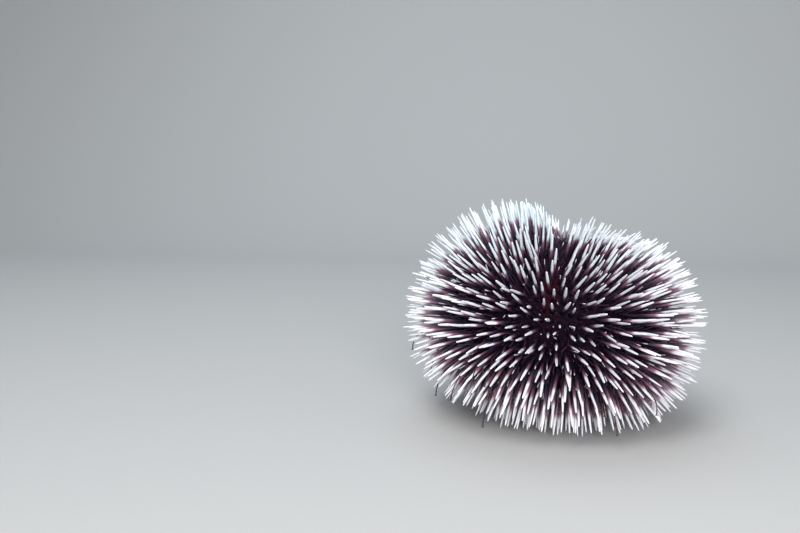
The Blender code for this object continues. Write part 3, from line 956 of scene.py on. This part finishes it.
def nearness(root, place, reach):
    """1 at a place seen from above, and less away from it."""
    return math.exp(-(offset_from(root, place, reach).length ** 2))


def crown_nearness(root):
    """1 at the crown, and less away from it."""
    return math.exp(-((math.hypot(root.x, root.y) / CROWN_REACH) ** 2))


def shortened(length, root):
    """A spine's length, less round the crown and in the pressed patch."""
    if root.z < 0:
        return length
    pressed = PRESSED_SHORTER * nearness(root, PRESSED_PLACE, PRESSED_REACH)
    return length * (1 - CROWN_SHORTER * crown_nearness(root)) * (1 - pressed)


def coat_lean(root, heading, share):
    """How far the partings of the coat make a spine lean aside and away from the crown."""
    if root.z < 0:
        return 0.0, 0.0
    lean = offset_from(root, HOLLOW_PLACE, HOLLOW_REACH).normalized()
    lean *= HOLLOW_LEAN * nearness(root, HOLLOW_PLACE, HOLLOW_REACH)
    if root.y < 0:
        arc = root.x - FURROW_X
        depth = FURROW_LEAN * max(0.0, 1 - share / FURROW_END) * math.exp(-abs(arc) / FURROW_WIDTH)
        lean.x += math.copysign(depth, arc)
    out = Vector((math.cos(heading), math.sin(heading)))
    crown = CROWN_PARTING * crown_nearness(root)
    pressed = PRESSED_LEAN * nearness(root, PRESSED_PLACE, PRESSED_REACH)
    return out.x * lean.y - out.y * lean.x, lean.dot(out) + crown + pressed


def in_bare_place(root, share):
    """Whether a root would stand in the bare middle of the hollow or of the front furrow."""
    if root.z < 0:
        return False
    if offset_from(root, HOLLOW_PLACE, HOLLOW_BARE_REACH).length < 1:
        return True
    in_furrow = root.y < HOLLOW_PLACE[1] and share < BARE_SHARES[-1]
    return in_furrow and abs(root.x - FURROW_X) < np.interp(share, BARE_SHARES, BARE_HALF_WIDTHS)


def spine_direction(root, heading, aside, away):
    """Unit direction of a spine that leans from the shell's normal by these angles."""
    slope = float(shell_slope(math.hypot(root.x, root.y), root.z))
    flat, up = math.cos(slope), math.sin(slope)
    normal, outward = polar(flat, heading, up), polar(up, heading, -flat)
    sideways = Vector((-math.sin(heading), math.cos(heading), 0.0))
    return (normal + sideways * math.tan(aside) + outward * math.tan(away)).normalized()


def natural_direction(root, heading, share, scatter, settings):
    """Direction of a coat spine, with the coat's partings, the sweep of its patch and its own scatter."""
    aside, away = coat_lean(root, heading, share)
    noise.seed_set(SWEEP_SEED)
    sweep = noise.noise_vector(root / SWEEP_SIZE) * settings.sweep
    aside += sweep.x + scatter[0] * settings.tilt_scatter
    away += sweep.y + scatter[1] * settings.tilt_scatter
    return spine_direction(root, heading, aside, away)


def kept_in_zone(root, tip, azimuth, half_width):
    """The tip, swung back if needed so that the spine stays clear of the zone's two side planes."""
    length = (tip - root).length
    reach = math.hypot(tip.x, tip.y)
    offset = math.remainder(math.atan2(tip.y, tip.x) - azimuth, 2 * math.pi)
    room = half_width - math.asin(min(1.0, (SPINE_ROOT_RADIUS + GAP) / reach))
    kept = azimuth + max(-room, min(room, offset))
    return root + (polar(reach, kept, tip.z) - root).normalized() * length


def floor_length(root, direction, length, radius, chances):
    """A spine's length, less where it would meet the floor: some stand on it, others stop a little above."""
    height = (STANCE @ root).z
    fall = -(STANCE.to_3x3() @ direction).z
    if fall <= 0 or height / fall > length:
        return length
    reach = (height - radius * math.sqrt(max(0.0, 1 - fall * fall))) / fall
    if chances[0] < STANDING_SHARE:
        return reach
    return reach * (LEAST_FLOOR_SHARE + (1 - LEAST_FLOOR_SHARE) * chances[1])


def spine_places(azimuth, half_width, pitch, rng, shift=0.0):
    """Root, heading, share along the shell, unwrap cell, scatter and chances of each place with a spine."""
    rows = round(outline_angles(0.0)[1] / pitch)
    middles = shell_point(outline_angles((np.arange(rows) + 0.5) / rows)[0])[0]
    counts = [max(1, round(2 * half_width * float(radius) / pitch)) for radius in middles]
    size = 1 / max(counts), 1 / rows
    for row, columns in enumerate(counts):
        for column in range(columns):
            across, along, aside, away = (rng.gauss(0.0, 1.0) for _ in range(4))
            share = min(1.0, (row + 0.5 + shift + along * ROOT_SCATTER) / rows)
            place = (column + 0.5 + shift + across * ROOT_SCATTER) / columns - 0.5
            heading = azimuth + place * 2 * half_width
            root = shell_root(outline_angles(share)[0], heading)
            middle = ((column + 0.5) / columns - 0.5) * columns / max(counts) + 0.5, (row + 0.5) / rows
            yield root, heading, share, (middle, size), (aside, away), [rng.random() for _ in range(3)]


def grow_long_spines(index, zone, settings):
    """Root, direction, length and unwrap cell of every long spine of a zone."""
    _, azimuth, half_width = zone
    places = spine_places(azimuth, half_width, settings.pitch, random.Random(LONG_SEED + index))
    spines = []
    for root, heading, share, cell, scatter, chances in places:
        if in_bare_place(root, share):
            continue
        direction = natural_direction(root, heading, share, scatter, settings)
        length = settings.length * (1 + settings.length_scatter * (2 * chances[2] - 1))
        length = shortened(length, root)
        tip = kept_in_zone(root, root + direction * length, azimuth, half_width)
        direction = (tip - root).normalized()
        spines.append((root, direction, floor_length(root, direction, length, TIP_RADIUS, chances), cell))
    return spines


def grow_short_spines(index, zone, settings):
    """Root, direction, length and unwrap cell of every short spine of a zone, the shortest in bare places."""
    _, azimuth, half_width = zone
    rng = random.Random(SHORT_SEED + index)
    spines = []
    for place in spine_places(azimuth, half_width, settings.short_pitch, rng, SHORT_SHIFT):
        root, heading, share, cell, scatter, chances = place
        if share >= 1:
            continue
        wild = [SHORT_WILDNESS * value for value in scatter]
        direction = natural_direction(root, heading, share, wild, settings)
        size = min(SHORT_LENGTHS) if in_bare_place(root, share) else rng.choice(SHORT_LENGTHS)
        length = settings.short_length * size * (SHORT_LEAST + SHORT_SPREAD * chances[2])
        spines.append((root, direction, length, cell))
    return spines


def spine_values(spines, rng):
    """White share, tone, cool tint and taper of each spine, from the way it points. The cool tint is painted
    skylight on the tips that point up.
    """
    ways = np.array([tuple(STANCE.to_3x3() @ spine[1]) for spine in spines])
    up = np.clip(ways[:, 2], 0.0, 1.0)
    left = np.clip(-ways[:, 0], -1.0, 1.0)
    front = np.clip(-ways[:, 1], 0.0, 1.0)
    white = WHITE_SHARE + WHITE_MORE_UP * up + WHITE_MORE_IN_FRONT * front
    white += rng.normal(0.0, WHITE_SCATTER, len(spines))
    tone = rng.uniform(0.0, 1.0, len(spines))
    # Painted skylight: a cool tint that grows on tips pointing up, and a little on those pointing left,
    # standing in for light from above
    cool = np.clip(up**PAINTED_SKYLIGHT_POWER + PAINTED_SKYLIGHT_MORE_LEFT * left, 0.0, 1.0)
    taper = FINE_TAPER * np.clip(SIDE_TAPER - front + MORE_TAPER_UP * up, 0.0, 1.0)
    return white, tone, cool, taper


def spines_mesh(name, spines, outline, sides, shaft_radius, rng, short=False):
    """One mesh of many spines, each a closed tapered shaft with a rounded tip and a slight bend."""
    white, tone, cool, taper = spine_values(spines, rng)
    if short:
        white = np.where(rng.random(len(spines)) < SHORT_WHITE_CHANCE, white * SHORT_WHITE, NO_WHITE)
    shape = len(spines), len(outline), sides
    share, widths = np.array(outline).T
    roots, ways = (np.array([tuple(spine[part]) for spine in spines]) for part in (0, 1))
    lengths = np.array([spine[2] for spine in spines])
    aside = np.cross(ways, [0.0, 0.0, 1.0])
    aside /= np.linalg.norm(aside, axis=1)[:, None]
    across = np.cross(ways, aside)
    bend_way = rng.uniform(0.0, 2 * math.pi, len(spines))
    bend = rng.normal(0.0, BEND, len(spines)) * lengths
    bend_vector = (np.cos(bend_way) * bend)[:, None] * aside + (np.sin(bend_way) * bend)[:, None] * across
    thickness = 1 + THICKNESS_SCATTER * rng.uniform(-1.0, 1.0, len(spines))
    spin = rng.uniform(0.0, 2 * math.pi, len(spines))

    middle = roots[:, None, :] + ways[:, None, :] * (share[None, :, None] * lengths[:, None, None])
    middle += bend_vector[:, None, :] * (share[None, :, None] ** 2)
    inside = np.clip(share, 0.0, 1.0)
    reach = widths * shaft_radius * thickness[:, None] * (1 - taper[:, None] * inside**2)
    around = spun(turns(sides) + spin[:, None], aside, across)
    corners = middle[:, :, None, :] + around[:, None, :, :] * reach[:, :, None, None]

    values = {
        "along": inside[:, None],
        "white_share": white[:, None, None],
        "tone": tone[:, None, None],
        # cool: how far painted skylight tints this spine's tip
        "cool": cool[:, None, None],
        "ridge": np.arange(sides) % 2,
    }
    values = {label: np.broadcast_to(numbers, shape) for label, numbers in values.items()}
    uvs = patch_uvs([spine[3] for spine in spines], share, sides)
    return make_mesh(name, corners.reshape(-1, 3), tube_faces(*shape), values, uvs)


def build_long_spines(settings):
    """The coat of long spines, one piece for each zone."""
    material = spine_material("spine_violet_white", settings, roughness=0.34, groove_scale=900.0)
    for index, zone in enumerate(zones()):
        spines = grow_long_spines(index, zone, settings)
        rng = np.random.default_rng(SHAPE_SEED + index)
        name = f"long_spines_{zone[0]}"
        mesh = spines_mesh(name, spines, LONG_OUTLINE, LONG_SIDES, settings.shaft_radius, rng)
        add_piece(name, mesh, material, [zone[0]])


def build_short_spines(settings):
    """Short spines that stand between the long ones, one piece for each zone."""
    material = spine_material("short_spine_violet", settings, roughness=0.4, groove_scale=1400.0)
    for index, zone in enumerate(zones()):
        spines = grow_short_spines(index, zone, settings)
        rng = np.random.default_rng(SHORT_SEED + index)
        name = f"short_spines_{zone[0]}"
        mesh = spines_mesh(name, spines, SHORT_OUTLINE, SHORT_SIDES, settings.short_radius, rng, short=True)
        add_piece(name, mesh, material, [zone[0]])


def build_tubercles(spine_settings, body_settings):
    """The ball and boss on which each long spine turns."""
    nodes = zone_names()
    roots, cells = [], []
    for index, zone in enumerate(zones()):
        for root, _, _, ((u, v), (wide, high)) in grow_long_spines(index, zone, spine_settings):
            roots.append(tuple(root))
            cells.append((((index + u) / len(nodes), v), (wide / len(nodes), high)))
    roots = np.array(roots)
    headings = np.arctan2(roots[:, 1], roots[:, 0])
    slopes = shell_slope(np.hypot(roots[:, 0], roots[:, 1]), roots[:, 2])
    flat, up = np.cos(slopes), np.sin(slopes)
    normals = np.stack([flat * np.cos(headings), flat * np.sin(headings), up], axis=1)
    sideways = np.stack([-np.sin(headings), np.cos(headings), np.zeros(len(roots))], axis=1)
    around = spun(turns(TUBERCLE_SIDES), sideways, np.cross(normals, sideways))
    out, rise = np.array(TUBERCLE_OUTLINE).T
    corners = roots[:, None, None, :] + normals[:, None, None, :] * rise[None, :, None, None]
    corners = corners + around[:, None, :, :] * out[None, :, None, None]
    shape = len(roots), len(out), TUBERCLE_SIDES
    pale = np.broadcast_to(np.clip(rise[:, None] / rise.max(), 0.0, 1.0), shape)
    uvs = patch_uvs(cells, np.linspace(0.0, 1.0, len(out)), TUBERCLE_SIDES)
    mesh = make_mesh("tubercles", corners.reshape(-1, 3), tube_faces(*shape), {"pale": pale}, uvs)
    add_piece("tubercles", mesh, skin_material(body_settings), nodes)


def foot_path(root, direction, sideways, down, reach, rng):
    """Points of a tube foot, which leaves the shell along the spines, hangs over and waves a little."""
    phase, wave = rng.uniform(0.0, 2 * math.pi), rng.uniform(*FOOT_WAVE_SHARES) * FOOT_WAVE
    points = []
    for i in range(FOOT_POINTS):
        along = i / (FOOT_POINTS - 1)
        out = reach * math.sin(along * math.pi / 2) ** FOOT_STRAIGHTNESS
        point = root + direction * out + down * FOOT_HANG * along**3 * reach / FOOT_REACH
        points.append(point + sideways * wave * along * math.sin(phase + FOOT_WAVE_TURN * along))
    lowest = min((STANCE @ point).z for point in points)
    return points if lowest > FLOOR_CLEARANCE else None


def foot_rings(points, reference):
    """Rings of a thin tube foot that ends in a flat disc."""
    tip_way = (points[-1] - points[-2]).normalized()
    path = points + [points[-1] + tip_way * SUCKER_THICKNESS * share for share, _ in SUCKER_OUTLINE]
    radii = []
    for i in range(FOOT_POINTS):
        ripple = FOOT_RIPPLE * math.sin(FOOT_RIPPLE_STEP * i)
        radii.append(FOOT_RADIUS * (FOOT_ROOT_WIDTH + ripple - FOOT_NARROWING * i / FOOT_POINTS))
    radii += [SUCKER_RADIUS * share for _, share in SUCKER_OUTLINE]
    return tube_corners(path, radii, FOOT_SIDES, reference)


def foot_places(settings, rng):
    """Outline angle, heading and reach of each tube foot: long ones as in the solids, and hidden ones."""
    side = NARROW_HALF_WIDTH * FOOT_OFFSET
    for middle in zone_middles(NARROW_HALF_WIDTH):
        for i, angle in enumerate(FOOT_ANGLES):
            yield angle, middle + side * (-1) ** i, FOOT_REACH
        for i in range(settings.hidden_feet):
            angle = rng.uniform(FOOT_ANGLES[-1], FOOT_ANGLES[0])
            yield angle, middle + side * (-1) ** i, FOOT_REACH * rng.uniform(*HIDDEN_FOOT_REACHES)


def build_tube_feet(settings):
    """Tube feet on the lower half of the narrow zones. Most hide in the coat, and a few reach past it."""
    rng = np.random.default_rng(FOOT_SEED)
    down = STANCE.to_3x3().inverted() @ Vector((0.0, 0.0, -1.0))
    rings = FOOT_POINTS + len(SUCKER_OUTLINE)
    corners = []
    for angle, heading, reach in foot_places(settings, rng):
        root = shell_root(angle, heading)
        sideways = Vector((-math.sin(heading), math.cos(heading), 0.0))
        direction = spine_direction(root, heading, 0.0, 0.0)
        points = foot_path(root, direction, sideways, down, reach, rng)
        if points is not None:
            corners.append(foot_rings(points, np.array(sideways)).reshape(-1, 3))
    on_sucker = np.repeat(np.arange(rings) >= FOOT_POINTS, FOOT_SIDES)
    values = {"pale": np.tile(on_sucker, len(corners))}
    faces = tube_faces(len(corners), rings, FOOT_SIDES)
    mesh = make_mesh("tube_feet", np.concatenate(corners), faces, values)
    material = mottled_material("tube_foot", settings.foot_colour, settings.sucker_colour)
    add_piece("tube_feet", mesh, material, zone_names(NARROW_HALF_WIDTH))


def crown_plate_middles():
    """Distance from the axis and azimuth of each crown plate's middle."""
    middles = [(LARGE_PLATE_REACH, heading) for heading in zone_middles(WIDE_HALF_WIDTH)]
    middles += [(SMALL_PLATE_REACH, heading) for heading in zone_middles(NARROW_HALF_WIDTH)]
    golden_turn = math.pi * (3 - math.sqrt(5))
    for i in range(INNER_PLATES):
        middles.append((INNER_PLATE_REACH * math.sqrt((i + 0.5) / INNER_PLATES), i * golden_turn))
    return middles


def crown_relief(x, y):
    """Height and paleness of the crown plates: sutures between plates, a pore in each large one, the vent."""
    away = np.sort([distances(x, y, *middle) for middle in crown_plate_middles()], axis=0)
    plate = smooth_step((away[1] - away[0]) / PLATE_SUTURE)
    relief = PLATE_HEIGHT * plate
    for heading in zone_middles(WIDE_HALF_WIDTH):
        relief -= PORE_DEPTH * np.exp(-((distances(x, y, PORE_REACH, heading) / PORE_RADIUS) ** 2))
    return relief + VENT_HEIGHT * np.exp(-((np.hypot(x, y) / VENT_RADIUS) ** 2)), plate


def add_disc(name, radius, height, pale, floor, material, node, faces_down=False):
    """Adds a disc from the grids of its open side, a row for each ring, closed by a flat floor."""
    rows = [*zip(radius, height), (radius[-1], floor), (radius[0], floor)]
    faces = grid_faces(len(rows), DISC_TURN, closed=True)
    if faces_down:
        faces = [face[::-1] for face in faces]
    values = {"pale": np.concatenate([pale, np.zeros((2, DISC_TURN))])}
    add_piece(name, make_mesh(name, polar_rows(rows, DISC_TURN), faces, values), material, [node])


def build_crown_plates(settings):
    """The disc of plates at the top, with its sutures, pores and vent."""
    rim = rim_height(CROWN_PLATE_RADIUS, 1)
    turn, share = np.meshgrid(turns(DISC_TURN), np.linspace(DISC_MIDDLE_SHARE, 1.0, DISC_RINGS))
    radius = (CROWN_PLATE_RADIUS - GAP) * share
    relief, plate = crown_relief(radius * np.cos(turn), radius * np.sin(turn))
    fade = smooth_step((1 - share) * CROWN_RIM_STEEPNESS)
    height = rim + CROWN_PLATE_DOME * (1 - share**2) + relief * fade
    floor = rim - CROWN_PLATE_DEPTH + GAP
    # The plates' dark parts take the skin's colour, which is partly painted shade
    material = mottled_material("crown_plate", settings.skin_and_shade_colour, settings.plate_colour)
    add_disc("crown_plates", radius, height, plate, floor, material, "apical_disc")


def membrane_height(radius, rim):
    """Height of the mouth membrane's underside, from the lip out to the shell."""
    outer = MOUTH_RADIUS - GAP
    lip = LIP_RADIUS - LIP_THICKNESS, LIP_RADIUS, LIP_RADIUS + LIP_THICKNESS
    heights = (0.0, -LIP_THICKNESS, 0.0, MEMBRANE_SAG / 3, MEMBRANE_SAG)
    return rim + np.interp(radius, (*lip, (outer + LIP_RADIUS) / 2, outer), heights)


def mouth_plates(x, y):
    """1 on the small plates round the mouth, a pair on each narrow zone, and 0 between them."""
    plates = np.zeros_like(x)
    for middle in zone_middles(NARROW_HALF_WIDTH):
        for heading in (middle + MOUTH_PLATE_SPREAD, middle - MOUTH_PLATE_SPREAD):
            away = distances(x, y, MOUTH_PLATE_RING, heading) / MOUTH_PLATE_RADIUS
            plates = np.maximum(plates, smooth_step(MOUTH_PLATE_EDGE - away))
    return plates


def build_mouth_membrane(settings):
    """The soft wrinkled ring round the mouth, with ten small plates and its lip."""
    rim = rim_height(MOUTH_RADIUS, -1)
    inner, outer = LIP_RADIUS - LIP_THICKNESS, MOUTH_RADIUS - GAP
    turn, radius = np.meshgrid(turns(DISC_TURN), np.linspace(inner, outer, DISC_RINGS))
    share = (radius - inner) / (outer - inner)
    edge = smooth_step(np.minimum(share, 1 - share) * MEMBRANE_RIM_STEEPNESS)
    wave = 2 * math.pi * WRINKLES * share + WRINKLE_WAVE * np.sin(ZONE_PAIRS * turn)
    plates = mouth_plates(radius * np.cos(turn), radius * np.sin(turn))
    relief = edge * (WRINKLE_HEIGHT * np.sin(wave) * (1 - plates) - MOUTH_PLATE_HEIGHT * plates)
    height = membrane_height(radius, rim) + relief
    floor = rim + MOUTH_DEPTH - GAP
    material = mottled_material("mouth_skin", settings.membrane_colour, settings.plate_colour)
    add_disc("mouth_membrane", radius, height, plates, floor, material, "peristome", faces_down=True)


def build_teeth(settings):
    """Five bowed teeth that meet in the middle of the mouth, on the socket that holds them."""
    rim = rim_height(MOUTH_RADIUS, -1)
    top = rim + MOUTH_DEPTH - GAP
    shares = np.linspace(0.0, 1.0, TOOTH_RINGS)
    out = np.interp(shares, (0, 1), TOOTH_SPREAD) + TOOTH_BOW * np.sin(shares * math.pi)
    height = np.interp(shares, (0, 1), (top - SOCKET_THICKNESS / 2, rim - TOOTH_SHOW))
    radii = TOOTH_RADIUS * np.interp(shares, TOOTH_SHARES, TOOTH_WIDTHS)
    headings = zone_middles(WIDE_HALF_WIDTH)
    corners = []
    for heading in headings:
        path = np.stack([out * math.cos(heading), out * math.sin(heading), height], axis=1)
        aside = (-math.sin(heading), math.cos(heading), 0.0)
        corners.append(tube_corners(path, radii, TOOTH_SIDES, aside, TOOTH_FLATNESS).reshape(-1, 3))
    rows = [(SOCKET_RADIUS * wide, top - SOCKET_THICKNESS * deep) for wide, deep in SOCKET_OUTLINE]
    corners.append(polar_rows(rows, SOCKET_SIDES))
    first = len(headings) * TOOTH_RINGS * TOOTH_SIDES
    faces = tube_faces(len(headings), TOOTH_RINGS, TOOTH_SIDES)
    faces += [tuple(first + corner for corner in face) for face in tube_faces(1, len(rows), SOCKET_SIDES)]
    tooth_pale = np.repeat(smooth_step(shares * TOOTH_PALE_RISE), TOOTH_SIDES)
    pale = np.concatenate([np.tile(tooth_pale, len(headings)), np.zeros(len(rows) * SOCKET_SIDES)])
    mesh = make_mesh("teeth", np.concatenate(corners), faces, {"pale": pale})
    material = mottled_material("tooth_enamel", settings.tooth_root_colour, settings.tooth_colour)
    add_piece("teeth", mesh, material, ["lantern_teeth"])


def aim_camera(settings):
    """A camera turned, with no shift, so that the middle of the animal falls on its pixel of the picture."""
    low, high = (Vector(corner) for corner in solid_box)
    data = bpy.data.cameras.new("camera")
    data.lens = settings.lens
    data.sensor_width = SENSOR_WIDTH
    data.clip_start = NEAREST_VIEW
    camera = add_object("camera", data)
    bpy.context.scene.camera = camera
    back = Vector((0.0, -math.cos(settings.elevation), math.sin(settings.elevation)))
    camera.location = (low + high) / 2 + back * settings.distance
    pixels = PICTURE_SIZE[0] * settings.lens / SENSOR_WIDTH
    across = (ANIMAL_PIXEL[0] - PICTURE_SIZE[0] / 2) / pixels
    upward = (PICTURE_SIZE[1] / 2 - ANIMAL_PIXEL[1]) / pixels
    far = math.sqrt(1 + across**2 + upward**2)
    pitch = math.asin(-far * math.sin(settings.elevation) / math.hypot(1, upward)) - math.atan(upward)
    ahead = math.cos(pitch) - upward * math.sin(pitch)
    tilt = Matrix.Rotation(math.pi / 2 + pitch, 4, "X")
    turn = Matrix.Rotation(math.atan2(across, ahead), 4, "Z")
    camera.rotation_mode = "QUATERNION"
    camera.rotation_quaternion = (turn @ tilt).to_quaternion()


def add_area_light(name, place, aim, size, colour, power):
    data = bpy.data.lights.new(name, "AREA")
    data.shape = "DISK"
    data.size = size
    data.energy = power
    data.color = colour
    light = add_object(name, data)
    light.location = place
    light.rotation_mode = "QUATERNION"
    light.rotation_quaternion = (Vector(aim) - Vector(place)).to_track_quat("-Z", "Y")


def floor_sweep():
    """A floor that rises behind the animal in one smooth sweep."""
    profile = [(-FLOOR_REACH, 0.0), (SWEEP_START, 0.0)]
    for i in range(1, SWEEP_STEPS + 1):
        turn = math.pi / 2 * i / SWEEP_STEPS
        profile.append((SWEEP_START + SWEEP_RADIUS * math.sin(turn), SWEEP_RADIUS * (1 - math.cos(turn))))
    profile.append((SWEEP_START + SWEEP_RADIUS, FLOOR_REACH))
    corners = [(x, y, z) for y, z in profile for x in (-FLOOR_REACH, FLOOR_REACH)]
    faces = [(2 * i, 2 * i + 1, 2 * i + 3, 2 * i + 2) for i in range(len(profile) - 1)]
    return make_mesh("floor", corners, faces)


def build_stage(settings):
    """Pale floor, soft lights, even surroundings and the camera."""
    floor = add_object("floor", floor_sweep())
    material, nodes = new_material("pale_floor")
    feed(nodes["Principled BSDF"].inputs["Base Color"], settings.floor_colour)
    feed(nodes["Principled BSDF"].inputs["Roughness"], FLOOR_ROUGHNESS)
    floor.data.materials.append(material)
    world = bpy.data.worlds.new("studio")
    world.use_nodes = True
    surroundings = world.node_tree.nodes["Background"]
    feed(surroundings.inputs["Color"], STUDIO_COLOUR)
    feed(surroundings.inputs["Strength"], STUDIO_LIGHT)
    bpy.context.scene.world = world
    bpy.context.scene.view_settings.view_transform = "Standard"
    for name, place, aim, size, colour in LIGHTS:
        add_area_light(name, place, aim, size, colour, getattr(settings, f"{name}_power"))
    aim_camera(settings)


class URCHIN_OT_skin(Operator):
    """Build the skin that covers the shell"""

    bl_idname = "urchin.skin"
    bl_label = "Skin"

    def execute(self, context):
        build_skin(context.scene.urchin_body)
        return {"FINISHED"}


class URCHIN_OT_long_spines(Operator):
    """Grow the long spines on the ten zones"""

    bl_idname = "urchin.long_spines"
    bl_label = "Long spines"

    def execute(self, context):
        build_long_spines(context.scene.urchin_spines)
        return {"FINISHED"}


class URCHIN_OT_short_spines(Operator):
    """Grow the short spines between the long ones"""

    bl_idname = "urchin.short_spines"
    bl_label = "Short spines"

    def execute(self, context):
        build_short_spines(context.scene.urchin_spines)
        return {"FINISHED"}


class URCHIN_OT_tubercles(Operator):
    """Set a tubercle under each long spine"""

    bl_idname = "urchin.tubercles"
    bl_label = "Tubercles"

    def execute(self, context):
        build_tubercles(context.scene.urchin_spines, context.scene.urchin_body)
        return {"FINISHED"}


class URCHIN_OT_tube_feet(Operator):
    """Grow the tube feet on the narrow zones"""

    bl_idname = "urchin.tube_feet"
    bl_label = "Tube feet"

    def execute(self, context):
        build_tube_feet(context.scene.urchin_body)
        return {"FINISHED"}


class URCHIN_OT_crown_and_mouth(Operator):
    """Build the crown plates, the mouth's membrane and the teeth"""

    bl_idname = "urchin.crown_and_mouth"
    bl_label = "Crown and mouth"

    def execute(self, context):
        settings = context.scene.urchin_body
        build_crown_plates(settings)
        build_mouth_membrane(settings)
        build_teeth(settings)
        return {"FINISHED"}


class URCHIN_OT_stage(Operator):
    """Set up the floor, the lights and the camera"""

    bl_idname = "urchin.stage"
    bl_label = "Stage"

    def execute(self, context):
        build_stage(context.scene.urchin_studio)
        return {"FINISHED"}


OPERATORS = (
    URCHIN_OT_skin,
    URCHIN_OT_tubercles,
    URCHIN_OT_long_spines,
    URCHIN_OT_short_spines,
    URCHIN_OT_tube_feet,
    URCHIN_OT_crown_and_mouth,
    URCHIN_OT_stage,
)
SETTINGS = (
    ("urchin_spines", SpineSettings),
    ("urchin_body", BodySettings),
    ("urchin_studio", StudioSettings),
)


class VIEW3D_PT_urchin(Panel):
    """Settings and steps of the sea urchin"""

    bl_label = "Sea urchin"
    bl_space_type = "VIEW_3D"
    bl_region_type = "UI"
    bl_category = "Urchin"

    def draw(self, context):
        for name, group in SETTINGS:
            box = self.layout.box()
            for prop in group.__annotations__:
                box.prop(getattr(context.scene, name), prop)
        for operator in OPERATORS:
            self.layout.operator(operator.bl_idname)


def register():
    for name, group in SETTINGS:
        bpy.utils.register_class(group)
        setattr(bpy.types.Scene, name, PointerProperty(type=group))
    for operator in OPERATORS:
        bpy.utils.register_class(operator)
    bpy.utils.register_class(VIEW3D_PT_urchin)


def unregister():
    bpy.utils.unregister_class(VIEW3D_PT_urchin)
    for operator in reversed(OPERATORS):
        bpy.utils.unregister_class(operator)
    for name, group in reversed(SETTINGS):
        delattr(bpy.types.Scene, name)
        bpy.utils.unregister_class(group)


def main():
    register()
    bpy.ops.urchin.skin()
    bpy.ops.urchin.tubercles()
    bpy.ops.urchin.long_spines()
    bpy.ops.urchin.short_spines()
    bpy.ops.urchin.tube_feet()
    bpy.ops.urchin.crown_and_mouth()
    bpy.ops.urchin.stage()


if __name__ == "__main__":
    main()
